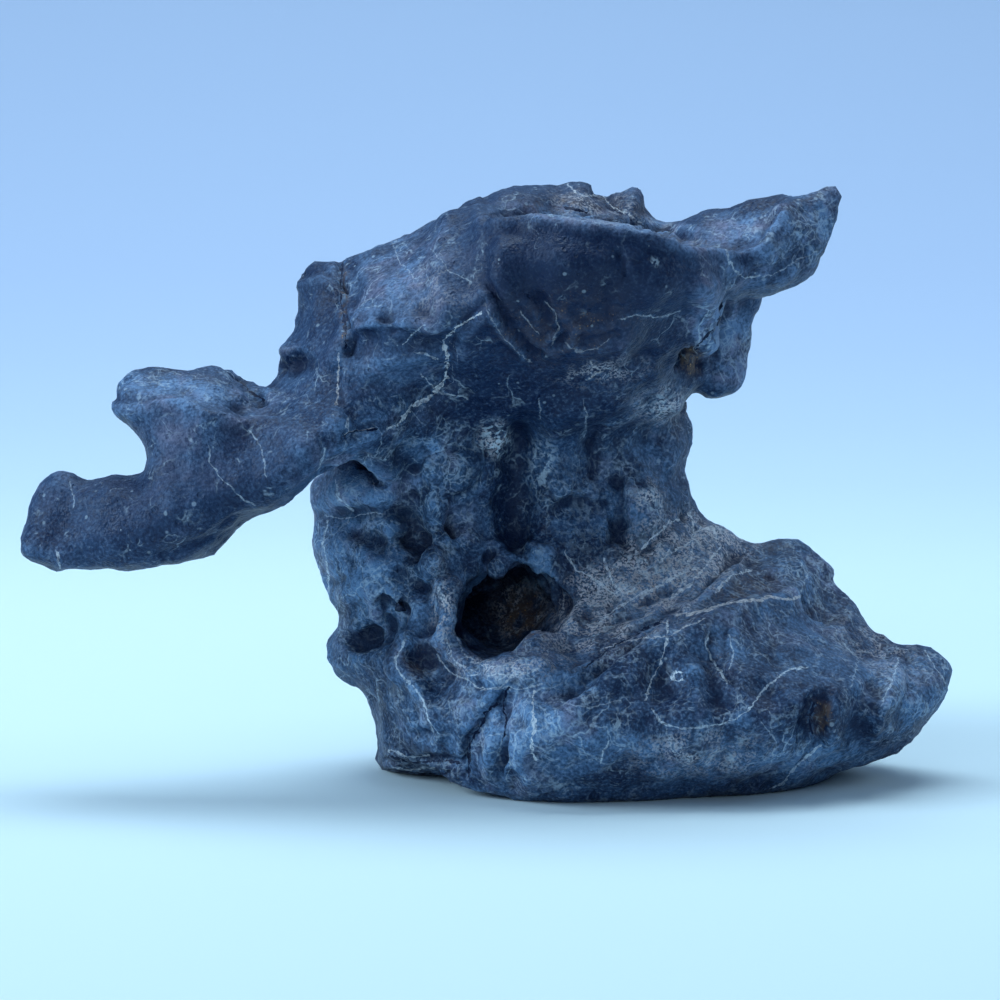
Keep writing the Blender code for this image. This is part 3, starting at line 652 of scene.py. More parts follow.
PATCHES: dict[Mark, dict[str, Patch]] = {
    Mark.PALE: {
        "neck_crystals": Patch((495, 440), (18, 18), 1.7),
        "neck_crystals_right": Patch((543, 465), (16, 28), 0.9),
        "neck_stain": Patch((660, 405), (26, 17), 0.7),
        "neck_knob": Patch((648, 505), (12, 18), 0.8),
        "base_oval": Patch((617, 726), (13, 8), 0.7, -15),
        "base_strata": Patch((406, 762), (26, 14), 0.55),
        "bright_spot": Patch((655, 262), (5, 5), 0.9),
        "valley_specks": Patch((537, 476), (10, 30), 0.6),
        "foot_specks": Patch((520, 780), (18, 6), 0.7),
        "foot_specks_right": Patch((566, 786), (28, 5), 0.6),
        "crystal_ledge": Patch((530, 549), (18, 6), 0.7, -10),
        "slope": Patch((650, 575), (92, 44), 0.35, 28),
        "neck_flakes": Patch((590, 510), (64, 70), 0.22),
    },
    Mark.RUST: {
        "rust_crack": Patch((344, 308), (4, 46), 1.5),
        "brown_brow": Patch((560, 330), (80, 40), 0.42, 6),
        "ochre_hole": Patch((690, 360), (9, 13), 3.5),
        "cave_wall": Patch((522, 612), (30, 34), 1.3),
        "base_recess": Patch((420, 660), (26, 22), 0.6),
        "rust_pit": Patch((820, 715), (12, 18), 2.2),
        "foot": Patch((714, 760), (26, 18), 0.35),
        "lens": Patch((722, 658), (10, 22), 0.4),
        "slope": Patch((645, 588), (105, 48), 0.45, 28),
        "slope_right": Patch((748, 588), (36, 16), 0.8, 15),
        "lobe_pit": Patch((418, 540), (18, 18), 0.5),
        "base_strata": Patch((404, 762), (26, 16), 0.45),
        "crest_recess": Patch((556, 204), (32, 9), 0.9, 4),
        "crest": Patch((620, 210), (34, 12), 0.5, -10),
    },
    # a pale film on the stone; some patches are also painted light: the crown's rim, the wing's top and the
    # lobe's top lit from above, the bulge lit from the left, and the floor of the lobe's middle pit
    Mark.PATINA_AND_PAINTED_LIGHT: {
        "cave_funnel": Patch((536, 575), (24, 22)),
        "lobe_top": Patch((352, 484), (30, 26), 1.2),
        "lobe_edge": Patch((342, 560), (22, 70)),
        "lobe_mid": Patch((424, 574), (30, 18), 1.1),
        "foot_end": Patch((898, 694), (52, 44), 0.9),
        "foot_low": Patch((812, 758), (70, 26), 0.8, 8),
        "base_low": Patch((690, 752), (95, 42), 0.5),
        "hump": Patch((800, 578), (52, 34), 1, -30),
        "horn_tip": Patch((812, 224), (30, 38), 1.4, -20),
        "face_low": Patch((396, 368), (62, 40), 0.35),
        "face_high": Patch((412, 296), (70, 34), 0.3),
        "lobe": Patch((385, 545), (95, 120)),
        "foot": Patch((740, 640), (190, 60), 0.45),
        "slope": Patch((650, 590), (130, 70), 0.55, 28),
        "base": Patch((520, 715), (140, 85), 0.65),
        "wing": Patch((180, 430), (150, 60), 0.3, 20),
        "face": Patch((400, 270), (70, 60), 0.6, 20),
        "rim": Patch((606, 219), (90, 8), 1.8, -7),
        "horn": Patch((740, 230), (60, 20), 0.75, 12),
        "wing_top": Patch((185, 390), (90, 16), 0.8, -8),
        "base_left": Patch((440, 710), (55, 60), 0.9),
        "ochre_flap": Patch((725, 345), (35, 50), 1.35, 30),
        "horn_front": Patch((778, 258), (78, 34), 0.65, 22),
        "neck": Patch((640, 470), (60, 100), 0.42),
        "neck_left": Patch((560, 480), (50, 60), 0.25),
        "bulge": Patch((446, 460), (34, 30), 1.3),
    },
    Mark.DUST: {
        "cave_wall": Patch((520, 610), (28, 30), 1.2),
        "neck_crystals": Patch((494, 438), (15, 16), 1.1),
        "slope": Patch((650, 580), (110, 42), 1.8, 30),
        "slope_dust_low": Patch((585, 640), (60, 16), 0.8, 30),
        "knob": Patch((650, 505), (16, 26), 0.8),
        "neck": Patch((662, 408), (28, 22), 0.7),
        "fold": Patch((442, 605), (12, 42), 0.8),
        "cave_sill": Patch((500, 668), (62, 14), 0.6),
        "foot": Patch((700, 755), (70, 24), 0.5),
        "foot_top": Patch((880, 650), (60, 26), 0.35, -25),
        "brow": Patch((600, 372), (46, 14), 0.5, 8),
        "crest": Patch((600, 205), (50, 16), 0.55, -8),
        "face": Patch((445, 290), (44, 30), 0.25, 30),
    },
    # painted shade: the crown's downward front and the band under its rim, under the crown and the wing, and
    # in pits, holes, grooves and the dimple
    Mark.PAINTED_SHADE: {
        "face_dimple": Patch((293, 363), (20, 10), 1.2),
        "front": Patch((560, 290), (120, 66), 1.15),
        "rim": Patch((600, 243), (80, 9), 0.8, 4),
        "fold": Patch((502, 262), (46, 42), 0.7),
        "neck": Patch((512, 485), (17, 52), 0.8),
        "under_crown": Patch((480, 392), (110, 26), 0.6),
        "neck_right": Patch((600, 425), (30, 36), 0.6),
        "lobe_pit": Patch((412, 528), (22, 32), 0.8, 25),
        "under_wing": Patch((394, 460), (34, 20), 1.2, -15),
        "ochre_hole": Patch((690, 361), (17, 21), 2),
        "rust_pit": Patch((818, 717), (20, 26), 1.1),
        "crest": Patch((615, 200), (30, 12), 0.5),
        "foot_end": Patch((856, 704), (22, 34), 0.3),
        "base_pit": Patch((505, 690), (40, 16), 0.3),
        "shelf": Patch((400, 342), (56, 14), 0.7),
        "knob": Patch((312, 268), (16, 22), 0.6),
    },
    Mark.SOFT: {
        "lobe": Patch((404, 555), (54, 88), 1.3),
        "neck": Patch((560, 500), (70, 60), 0.8),
        "base": Patch((560, 735), (160, 60), 0.7),
    },
    Mark.CALM: {
        "horn_tip": Patch((800, 232), (44, 40), 0.8),
        "crown": Patch((560, 280), (340, 150), 1.2),
        "wing": Patch((160, 480), (220, 120), 1.1),
    },
}


@dataclass(frozen=True)
class Lattice:
    """A form's bent lattice: the bend's size and amount, as shares of the step, and two patterns' numbers.

    Each turn of a form is one of its sizes, and takes the next number of both patterns.
    """

    bend_size: float
    bend_amount: float
    bend_salt: int
    cell_salt: int

    def cells(self, points: Array, size: float, turn: int, flat_sided: bool = False) -> Array:
        """Distances to the lattice's seeds, from places that are warped first, each turn in its own way."""
        spots = Noise.warped(points, size * self.bend_size, size * self.bend_amount, self.bend_salt + turn)
        return Noise.cells(spots, size, self.cell_salt + turn, flat_sided)


@dataclass
class Rock:
    """The rock: one body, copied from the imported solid, refined, carved and marked.

    A warp is its size, its amount and its pattern's number. A scallop is its size and its heights on the
    near side and behind, a facet its size and height, and a pit its spacing, its radius as a share of that,
    and its depth. A hollow is how many times its surroundings are smoothed and the depth that fills its
    mask. A paint behind is its strength, its clouds' size and their pattern's number, and the clouds behind
    are carried to their middle and gain. The rubble is its size, its octaves and its pattern's number.
    """

    # the even skin, and its sawn underside
    fineness: float = 0.7
    evening: int = 7
    sawn_height: float = 0.35
    sawn_fade: float = 1.5
    sawn_turn: float = -0.9

    # which points show on the sheet: fully to the first depth behind the nearest, not at all past the second
    reach_behind: Pair = (4.0, 8.0)
    cell: float = 1.2
    least_turn: float = 0.12
    edge_fade: float = 0.15
    blur: int = 6

    # strokes and soft places
    stroke_warp: Warp = (34.0, 6.0, 3)
    stroke_spread: float = 1.5
    ledge_gain: float = 6.75
    softening: int = 60
    soft_warps: tuple[Warp, ...] = ((7.0, 1.1, 31), (3.4, 0.4, 33))

    # weather
    behind_fade: float = 8.0
    calming: float = 0.75
    scallops: tuple[Triple, ...] = ((9.0, 0.55, 0.9), (4.6, 0.38, 0.45), (2.4, 0.2, 0.22))
    scallop_lattice: Lattice = Lattice(0.8, 0.3, 40, 60)
    scallop_level: float = 0.3
    facets: tuple[Pair, ...] = ((13.0, 1.0), (5.5, 0.32), (2.6, 0.12))
    facet_lattice: Lattice = Lattice(0.9, 0.18, 50, 70)
    facet_axes: tuple[Triple, ...] = ((0.48, -0.60, 0.64), (0.80, 0.60, 0.0), (-0.38, 0.51, 0.77))
    facet_level: float = 0.7
    pits: tuple[Triple, ...] = ((6.0, 0.2, 0.5), (3.4, 0.22, 0.35))
    pit_lattice: Lattice = Lattice(0.5, 0.1, 80, 90)
    pit_clump: float = 2.5
    pit_choice: float = 3.0
    pit_salt: int = 95
    roughness: float = 0.12
    rubble: tuple[float, int, int] = (3.0, 3, 20)
    crispness: float = 0.55
    crisp_repeats: int = 5
    crisp_limit: float = 0.3

    # veins and paint
    vein_layers: int = 4
    vein_warp: Warp = (22.0, 2.6, 5)
    vein_reach: float = 1.3
    vein_spread: float = 0.32
    vein_least: float = 0.3
    no_vein: Triple = (9.0, -1.0, 0.0)
    broad_hollow: tuple[int, float] = (14, 0.7)
    fine_hollow: tuple[int, float] = (3, 0.16)
    paint_fade: float = 1.5
    clouds_behind: Pair = (0.5, 1.4)
    paint_behind: dict[Mark, tuple[float, float, int]] = field(
        default_factory=lambda: {
            Mark.PATINA_AND_PAINTED_LIGHT: (0.45, 20.0, 122),
            Mark.DUST: (0.10, 13.0, 123),
            Mark.RUST: (0.2, 11.0, 121),
            Mark.CALM: (0.8, 26.0, 126),
        }
    )
    sheet: Sheet = field(default_factory=Sheet)

    def refined(self, node: Object) -> Object:
        """Copies a solid and fuses the copy into one fine, even skin.

        Args:
            node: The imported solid.

        Returns:
            A new object of the same shape, at the origin.
        """
        mesh = node.data.copy()
        mesh.name = "rock_skin"
        mesh.materials.clear()
        draft = bmesh.new()
        draft.from_mesh(mesh)
        bmesh.ops.remove_doubles(draft, verts=draft.verts, dist=1e-6)
        draft.to_mesh(mesh)
        draft.free()
        copy = bpy.data.objects.new("rock_skin", mesh)
        bpy.context.scene.collection.objects.link(copy)
        fuse = copy.modifiers.new("Fuse", "REMESH")
        fuse.mode = "VOXEL"
        fuse.voxel_size = self.fineness * MM
        bpy.context.view_layer.update()
        fine = bpy.data.meshes.new_from_object(copy.evaluated_get(bpy.context.evaluated_depsgraph_get()))
        fine.name = "rock_skin"
        copy.modifiers.clear()
        copy.data = fine
        return copy

    def facing(self, skin: Skin, flat: Array, depth: Array) -> Array:
        """How fully each point shows on the sheet: 1 in the foremost layer, 0 behind it or facing away.

        The sheet is divided into cells, and a point counts by how little deeper it is than its cell's
        nearest point, less what the skin's own slant makes across one cell.

        Args:
            skin: The skin.
            flat: The points on the sheet.
            depth: Their depths.

        Returns:
            N shares from 0 to 1.
        """
        cells = np.floor(flat / (self.cell * self.sheet.scale)).astype(int)
        cells -= cells.min(axis=0)
        place = cells[:, 0] * (cells[:, 1].max() + 1) + cells[:, 1]
        nearest = np.full(place.max() + 1, np.inf)
        np.minimum.at(nearest, place, depth)
        close, far = self.reach_behind
        turned = -(skin.outwards() @ self.sheet.forward)
        cosine = np.clip(turned, self.least_turn, 1)
        slant = np.sqrt(1 - cosine**2) / cosine
        shown = 1 - eased((depth - nearest[place] - self.cell * slant - close) / (far - close))
        return shown * eased((turned + self.edge_fade) / (2 * self.edge_fade))

    def seen(self, skin: Skin) -> tuple[Array, Array, Array]:
        """The skin's places on the sheet, their depths, and how fully each of them shows."""
        flat, depth = self.sheet.flatten(skin.points)
        return flat, depth, self.facing(skin, flat, depth)

    def carve(self, skin: Skin) -> None:
        """Makes the placed carvings.

        Round: height times the square of one less the squared share of the reach. Ledge: 6.75 times the
        height, the share and the square of one less the share, signed by side, which peaks at the height.
        Crack: height times one less the share.

        Args:
            skin: The skin to carve.
        """
        flat, depth, facing = self.seen(skin)
        flat = Noise.warped(np.column_stack([flat, depth]), *self.stroke_warp)[:, :2]
        shift = np.zeros(len(flat))
        for stroke in CARVINGS.values():
            distance, side, _ = from_path(flat, stroke.path)
            share = np.clip(distance / (stroke.reach * self.stroke_spread * self.sheet.scale), 0, 1)
            if stroke.shape is Carve.ROUND:
                shift += stroke.height * (1 - share**2) ** 2
            elif stroke.shape is Carve.LEDGE:
                shift += stroke.height * self.ledge_gain * side * share * (1 - share) ** 2
            else:
                shift += stroke.height * (1 - share)
        skin.push(shift * facing)
        skin.relax(1)

    def soften(self, skin: Skin) -> None:
        """Evens out the soft places and bends their round hollows out of true.

        Each point moves to where it lies after long relaxing, and then by lumps, by its share of softness.

        Args:
            skin: The skin to work.
        """
        flat, _, facing = self.seen(skin)
        soft = skin.smoothed((self.patch(flat, facing, Mark.SOFT) * skin.above)[:, None], self.blur)
        still = skin.points.copy()
        skin.relax(self.softening)
        bent = skin.points
        for warp in self.soft_warps:
            bent = Noise.warped(bent, *warp)
        skin.points = still + (bent - still) * np.clip(soft, 0, 1)

    def weather(self, skin: Skin) -> None:
        """Dissolves and roughens the whole surface: scallops, facets, scattered pits, then fine rubble.

        A scallop rises with the squared distance to its seed, so that crests are sharp and floors round. A
        facet rises with the flat-sided distance. A pit sits at some seeds only. At the end every form is
        made crisper: each point moves away from its smoothed surroundings.

        Args:
            skin: The skin to weather.
        """
        behind = eased((skin.points[:, 1] + self.behind_fade) / (2 * self.behind_fade))
        flat, _, facing = self.seen(skin)
        calm = skin.smoothed(self.patch(flat, facing, Mark.CALM)[:, None], self.blur)[:, 0]
        lively = 1 - self.calming * np.clip(calm, 0, 1)
        shift = np.zeros(len(skin.points))
        for turn, (size, near, far) in enumerate(self.scallops):
            rise = self.scallop_lattice.cells(skin.points, size, turn) ** 2 - self.scallop_level
            shift += (near + (far - near) * behind) * lively * rise
        turned = skin.points @ np.array(self.facet_axes)
        for turn, (size, height) in enumerate(self.facets):
            rise = self.facet_lattice.cells(turned, size, turn, flat_sided=True) - self.facet_level
            shift += height * lively * rise
        for turn, (size, radius, depth) in enumerate(self.pits):
            nearest = self.pit_lattice.cells(skin.points, size, turn)
            clumps = Noise.lumps(skin.points, size * self.pit_clump, self.pit_salt + turn)
            shift -= depth * eased(clumps * self.pit_choice) * (1 - eased(nearest / radius))
        shift += self.roughness * Noise.rubble(skin.points, *self.rubble)
        skin.push(shift)
        crisper = -skin.hollowness(self.crisp_repeats) * self.crispness
        skin.push(np.clip(crisper, -self.crisp_limit, self.crisp_limit))

    def veins(self, skin: Skin) -> list[Array]:
        """Lays the placed veins on the skin in layers whose veins keep clear of one another.

        Args:
            skin: The skin.

        Returns:
            For each layer, N vectors: the signed distance to the vein and its half width, in millimetres,
            and its warmth. The half width is below zero where no vein is near.
        """
        flat, _, facing = self.seen(skin)
        flat = Noise.warped(np.column_stack([flat, np.zeros(len(flat))]), *self.vein_warp)[:, :2]
        layers = [np.tile(self.no_vein, (len(flat), 1)) for _ in range(self.vein_layers)]
        taken = [np.zeros(len(flat), bool) for _ in range(self.vein_layers)]
        for vein in VEINS.values():
            distance, side, past = from_path(flat, vein.path)
            distance, past = distance / self.sheet.scale, past / self.sheet.scale
            near = (distance < self.vein_reach) & (facing > self.vein_least)
            claimed = distance < 2 * self.vein_reach
            free = [place for place in range(self.vein_layers) if not (taken[place] & claimed).any()]
            place = free[0] if free else self.vein_layers - 1
            half = vein.width * self.vein_spread - past
            warmth = np.full(len(flat), vein.warmth)
            layers[place][near] = np.column_stack([distance * side, half, warmth])[near]
            taken[place] |= near
        return layers

    def patch(self, flat: Array, facing: Array, kind: Mark) -> Array:
        """The strength of one kind of paint: the strongest of its patches at each point.

        A patch fades by the S-curve with the distance from its middle, as a share of its half sizes.

        Args:
            flat: The points on the sheet.
            facing: How fully each point shows there.
            kind: The kind of paint.

        Returns:
            N strengths from 0.
        """
        strength = np.zeros(len(flat))
        for patch in PATCHES[kind].values():
            turn = math.radians(patch.turn)
            offset = flat - np.array(patch.centre)
            along = offset[:, 0] * math.cos(turn) - offset[:, 1] * math.sin(turn)
            across = offset[:, 0] * math.sin(turn) + offset[:, 1] * math.cos(turn)
            share = np.hypot(along / patch.half[0], across / patch.half[1])
            strength = np.maximum(strength, patch.strength * (1 - eased(share / self.paint_fade)))
        return strength * facing

    def mark(self, skin: Skin) -> None:
        """Writes what is only colour on the skin: hollowness, crests, paint and veins. Hollows and crevices
        are read for painted shade, crests for wear and a painted highlight, and some of the paint is painted
        shade and light.

        Paint behind is its strength times the S-curve of cloudy noise, where the skin doesn't show.

        Args:
            skin: The finished skin.
        """
        repeats, fill = self.broad_hollow
        hollow = skin.hollowness(repeats)
        skin.write("hollow", eased(hollow / fill))
        skin.write("crest", eased(-hollow / fill))
        repeats, fill = self.fine_hollow
        skin.write("crevice", eased(skin.hollowness(repeats) / fill))
        flat, _, facing = self.seen(skin)
        for kind in PAINTS:
            paint = self.patch(flat, facing, kind)
            if kind in self.paint_behind:
                strength, size, salt = self.paint_behind[kind]
                middle, gain = self.clouds_behind
                clouds = eased(middle + gain * Noise.rubble(skin.points, size, 2, salt))
                paint += (1 - facing) * strength * clouds
            skin.write(kind.value, paint)
        for place, layer in enumerate(self.veins(skin)):
            skin.write(f"vein_{place}", layer)

    def dress(self, piece: Object, weathered: Material, sawn: Material) -> None:
        """Gives the skin its two materials: the sawn one where a low face looks down, and smooth shading.

        Args:
            piece: The finished rock.
            weathered: The material of the skin.
            sawn: The material of the underside.
        """
        faces = piece.data.polygons
        piece.data.materials.append(weathered)
        piece.data.materials.append(sawn)
        facing_down = Skin.read(faces, "normal", 3)[:, 2] < self.sawn_turn
        under = facing_down & (Skin.read(faces, "center", 3)[:, 2] < self.sawn_height * MM)
        faces.foreach_set("material_index", under.astype(np.int32))
        faces.foreach_set("use_smooth", np.ones(len(under), bool))
        piece.data.update()

    def build(self, node: Object, weathered: Material, sawn: Material) -> Object:
        """Makes the visible rock.

        Args:
            node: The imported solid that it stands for.
            weathered: The material of the skin.
            sawn: The material of the underside.

        Returns:
            The finished piece.
        """
        piece = self.refined(node)
        skin = Skin(piece)
        ground = skin.points[:, 2].min()
        skin.above = eased((skin.points[:, 2] - ground - self.sawn_height) / self.sawn_fade)
        still = skin.points.copy()
        skin.relax(self.evening)
        skin.points = still + (skin.points - still) * skin.above[:, None]
        self.soften(skin)
        self.carve(skin)
        self.weather(skin)
        skin.points[:, 2] = np.maximum(skin.points[:, 2], 0)
        skin.store()
        self.mark(skin)
        self.dress(piece, weathered, sawn)
        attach(piece, "root")
        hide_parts(NODE)
        LOG.info("rock_skin: %d faces, %d points", len(piece.data.polygons), len(skin.points))
        return piece


class Graph:
    """A shader tree being built."""

    ROUGHNESS = 0.55

    def __init__(self, tree: bpy.types.NodeTree) -> None:
        """Empties the tree and keeps it."""
        self.tree = tree
        tree.nodes.clear()

    def add(
        self, kind: str, inputs: dict[str | int, Source] | None = None, **settings: object
    ) -> bpy.types.Node:
        """Adds a node.

        Args:
            kind: The node's type, without the leading ShaderNode.
            inputs: What feeds its sockets, by name or place: a socket or a constant.
            settings: Its own properties.

        Returns:
            The node.
        """
        node = self.tree.nodes.new(f"ShaderNode{kind}")
        for name, value in settings.items():
            setattr(node, name, value)
        for key, value in (inputs or {}).items():
            self.feed(node.inputs[key], value)
        return node

    def feed(self, socket: Socket, value: Source) -> None:
        """Links a socket to another, or sets its constant.

        Args:
            socket: The socket that is fed.
            value: The other socket, or the constant.
        """
        if isinstance(value, Socket):
            self.tree.links.new(value, socket)
        else:
            socket.default_value = value

    def math(self, operation: str, *values: Source, clamp: bool = False) -> Socket:
        """The result of a sum on one to three numbers."""
        return self.add("Math", dict(enumerate(values)), operation=operation, use_clamp=clamp).outputs[0]

    def plus(self, one: Source, other: Source, clamp: bool = False) -> Socket:
        """One number and the other."""
        return self.math("ADD", one, other, clamp=clamp)

    def less(self, one: Source, other: Source, clamp: bool = False) -> Socket:
        """One number less the other."""
        return self.math("SUBTRACT", one, other, clamp=clamp)

    def times(self, one: Source, other: Source, clamp: bool = False) -> Socket:
        """One number times the other."""
        return self.math("MULTIPLY", one, other, clamp=clamp)

    def most(self, one: Source, other: Source) -> Socket:
        """The larger of two numbers."""
        return self.math("MAXIMUM", one, other)

    def ramp(self, value: Source, low: float, high: float, start: float = 0.0, end: float = 1.0) -> Socket:
        """Carries a number smoothly from a range to another, held at both ends."""
        inputs = {"Value": value, "From Min": low, "From Max": high, "To Min": start, "To Max": end}
        return self.add("MapRange", inputs, interpolation_type="SMOOTHSTEP", clamp=True).outputs[0]

    def noise(self, point: Source, size: float, detail: float = 2.0, wander: float = 0.0) -> Socket:
        """Cloudy noise from 0 to 1 whose clouds are about a size across."""
        clouds = {"Vector": point, "Scale": 1 / size, "Detail": detail, "Distortion": wander}
        return self.add("TexNoise", clouds | {"Roughness": self.ROUGHNESS}).outputs["Fac"]

    def mix(self, share: Source, one: Source, other: Source) -> Socket:
        """A colour between two."""
        return self.add("Mix", {0: share, 6: one, 7: other}, data_type="RGBA").outputs[2]

    def layer(self, name: str, output: str = "Fac") -> Socket:
        """One of the skin's own attributes."""
        return self.add("Attribute", attribute_name=name, attribute_type="GEOMETRY").outputs[output]

    def parts(self, vector: Source) -> Sockets:
        """The three numbers of a vector."""
        return self.add("SeparateXYZ", {0: vector}).outputs

    def place(self) -> Socket:
        """The point in the object's own frame, in millimetres."""
        coordinates = self.add("TexCoord").outputs["Object"]
        return self.add("Mapping", {"Vector": coordinates, "Scale": (1 / MM, 1 / MM, 1 / MM)}).outputs[0]

    def grained(self, height: Source, depth: float) -> Socket:
        """The normal of a skin raised by a height, as deep as given in metres."""
        return self.add("Bump", {"Strength": 1.0, "Distance": depth, "Height": height}).outputs[0]

    def finish(self, **inputs: Source) -> None:
        """Ends a material in its shader.

        Args:
            inputs: What feeds the shader, by the names of its sockets with an underscore for a space.
        """
        named = {name.replace("_", " "): value for name, value in inputs.items()}
        shader = self.add("BsdfPrincipled", named)
        self.feed(self.add("OutputMaterial").inputs[0], shader.outputs[0])


def new_material(name: str) -> tuple[Material, Graph]:
    """A material and its empty tree.

    Args:
        name: The material's name.

    Returns:
        The material, and its tree as a graph.
    """
    material = bpy.data.materials.new(name)
    material.use_nodes = True
    return material, Graph(material.node_tree)


class Effect:
    """A shader node group that the finishes share, built once."""

    name = ""
    inputs: dict[str, tuple[str, float | None]] = {}
    outputs: tuple[str, ...] = ()

    def draw(self, graph: Graph, given: Sockets) -> dict[str, Socket]:
        """Builds the inside of the group.

        Args:
            graph: The group's own tree.
            given: The group's inputs.

        Returns:
            What goes to each output.
        """
        raise NotImplementedError

    def tree(self) -> bpy.types.NodeTree:
        """The group's tree, made at its first use.

        Returns:
            The tree, with its sockets.
        """
        known = bpy.data.node_groups.get(self.name)
        if known:
            return known
        tree = bpy.data.node_groups.new(self.name, "ShaderNodeTree")
        graph = Graph(tree)
        for name, (kind, value) in self.inputs.items():
            socket = tree.interface.new_socket(name=name, in_out="INPUT", socket_type=f"NodeSocket{kind}")
            if value is not None:
                socket.default_value = value
        for name in self.outputs:
            tree.interface.new_socket(name=name, in_out="OUTPUT", socket_type="NodeSocketFloat")
        made = self.draw(graph, tree.nodes.new("NodeGroupInput").outputs)
        end = tree.nodes.new("NodeGroupOutput")
        for name, socket in made.items():
            graph.feed(end.inputs[name], socket)
        return tree

    def put(self, graph: Graph, **values: Source) -> Sockets:
        """Places the group in a material.

        Args:
            graph: The material's tree.
            values: What feeds its inputs, by name.

        Returns:
            The group's outputs.
        """
        node = graph.tree.nodes.new("ShaderNodeGroup")
        node.node_tree = self.tree()
        for name, value in values.items():
            graph.feed(node.inputs[name], value)
        return node.outputs


class Mottle(Effect):
    """Clouds of tone in the stone: broad ones, and fine ones inside them.

    A cloud is its size in millimetres, its detail and its wander.
    """

    name = "stone_mottle"
    inputs = {"Point": ("Vector", None)}
    outputs = ("Broad", "Fine")
    broad: Triple = (17.0, 3.0, 0.8)
    broad_range: Pair = (0.34, 0.66)
    fine: Triple = (3.4, 4.0, 0.5)
    fine_range: Pair = (0.3, 0.7)

    def draw(self, graph: Graph, given: Sockets) -> dict[str, Socket]:
        """Two noises, each stretched to fill the range.

        Args:
            graph: The group's own tree.
            given: The group's inputs.

        Returns:
            What goes to each output.
        """
        broad = graph.noise(given["Point"], *self.broad)
        fine = graph.noise(given["Point"], *self.fine)
        return {"Broad": graph.ramp(broad, *self.broad_range), "Fine": graph.ramp(fine, *self.fine_range)}


class Hairlines(Effect):
    """Fine mineral hairlines: the edges of warped cells, and the mid levels of a broad noise.

    A net is its cells' size in millimetres and its strength. The bend is the size and the amount of the
    push on the cells. A net's clouds are a few of its cells across, and it shows where they rise above a
    level, which the cover lowers. The long lines are the size of their noise, of their clouds, and their
    fineness.
    """

    name = "stone_hairlines"
    inputs = {"Point": ("Vector", None), "Cover": ("Float", 0.5), "Width": ("Float", 0.1)}
    outputs = ("Mask",)
    nets: tuple[Pair, ...] = ((8.5, 1.0), (3.8, 0.7), (1.8, 0.7))
    bend: Pair = (6.25, 9.0)
    fade: Pair = (0.2, 1.0)
    net_cloud: float = 1.6
    net_level: Pair = (0.78, 0.42)
    net_range: Pair = (-0.03, 0.12)
    long_lines: Triple = (15.0, 11.0, 34.0)
    long_range: Pair = (0.5, 0.62)

    def line(self, graph: Graph, distance: Source, width: Source) -> Socket:
        """One where the distance is nothing, and nothing past the width."""
        share = graph.math("DIVIDE", distance, width)
        return graph.less(1.0, graph.ramp(share, *self.fade), clamp=True)

    def draw(self, graph: Graph, given: Sockets) -> dict[str, Socket]:
        """Each set of lines shows in its own clouds, as wide as the cover allows.

        Args:
            graph: The group's own tree.
            given: The group's inputs.

        Returns:
            What goes to each output.
        """
        point, width = given["Point"], given["Width"]
        bend_size, bend_amount = self.bend
        level_bare, lowering = self.net_level
        drift = graph.add("TexNoise", {"Vector": point, "Scale": 1 / bend_size, "Detail": 3.0})
        push = {0: drift.outputs["Color"], "Scale": bend_amount}
        push = graph.add("VectorMath", push, operation="SCALE").outputs[0]
        warped = graph.add("VectorMath", {0: point, 1: push}, operation="ADD").outputs[0]
        total: Source = 0.0
        for size, strength in self.nets:
            cells = {"Vector": warped, "Scale": 1 / size}
            edge = graph.add("TexVoronoi", cells, feature="DISTANCE_TO_EDGE").outputs["Distance"]
            line = self.line(graph, graph.times(edge, size), width)
            cloud = graph.noise(point, size * self.net_cloud, 2.0)
            level = graph.less(level_bare, graph.times(given["Cover"], lowering))
            shown = graph.ramp(graph.less(cloud, level), *self.net_range)
            total = graph.most(total, graph.times(graph.times(line, shown), strength))
        size, cloud_size, fineness = self.long_lines
        band = graph.math("ABSOLUTE", graph.less(graph.noise(warped, size, 1.0), 0.5))
        long = self.line(graph, graph.times(band, fineness), width)
        shown = graph.ramp(graph.noise(point, cloud_size, 1.0), *self.long_range)
        long = graph.times(graph.times(long, shown), given["Cover"])
        return {"Mask": graph.most(total, long)}


class Specks(Effect):
    """Scattered specks: round grains at some of the seeds of a fine lattice.

    A grain's radius is a least share of the lattice's step, and a share more by chance.
    """

    name = "stone_specks"
    inputs = {"Point": ("Vector", None), "Size": ("Float", 0.9), "Cover": ("Float", 0.1)}
    outputs = ("Mask",)
    radius: Pair = (0.12, 0.24)
    fade: Pair = (0.55, 1.0)

    def draw(self, graph: Graph, given: Sockets) -> dict[str, Socket]:
        """A grain shows where its cell's random number is under the cover.

        Args:
            graph: The group's own tree.
            given: The group's inputs.

        Returns:
            What goes to each output.
        """
        scale = graph.math("DIVIDE", 1.0, given["Size"])
        cells = graph.add("TexVoronoi", {"Vector": given["Point"], "Scale": scale})
        chance = graph.add("SeparateColor", {0: cells.outputs["Color"]}).outputs
        chosen = graph.math("LESS_THAN", chance[0], given["Cover"])
        least, more = self.radius
        radius = graph.plus(least, graph.times(chance[1], more))
        share = graph.math("DIVIDE", cells.outputs["Distance"], radius)
        grain = graph.less(1.0, graph.ramp(share, *self.fade), clamp=True)
        return {"Mask": graph.times(grain, chosen)}


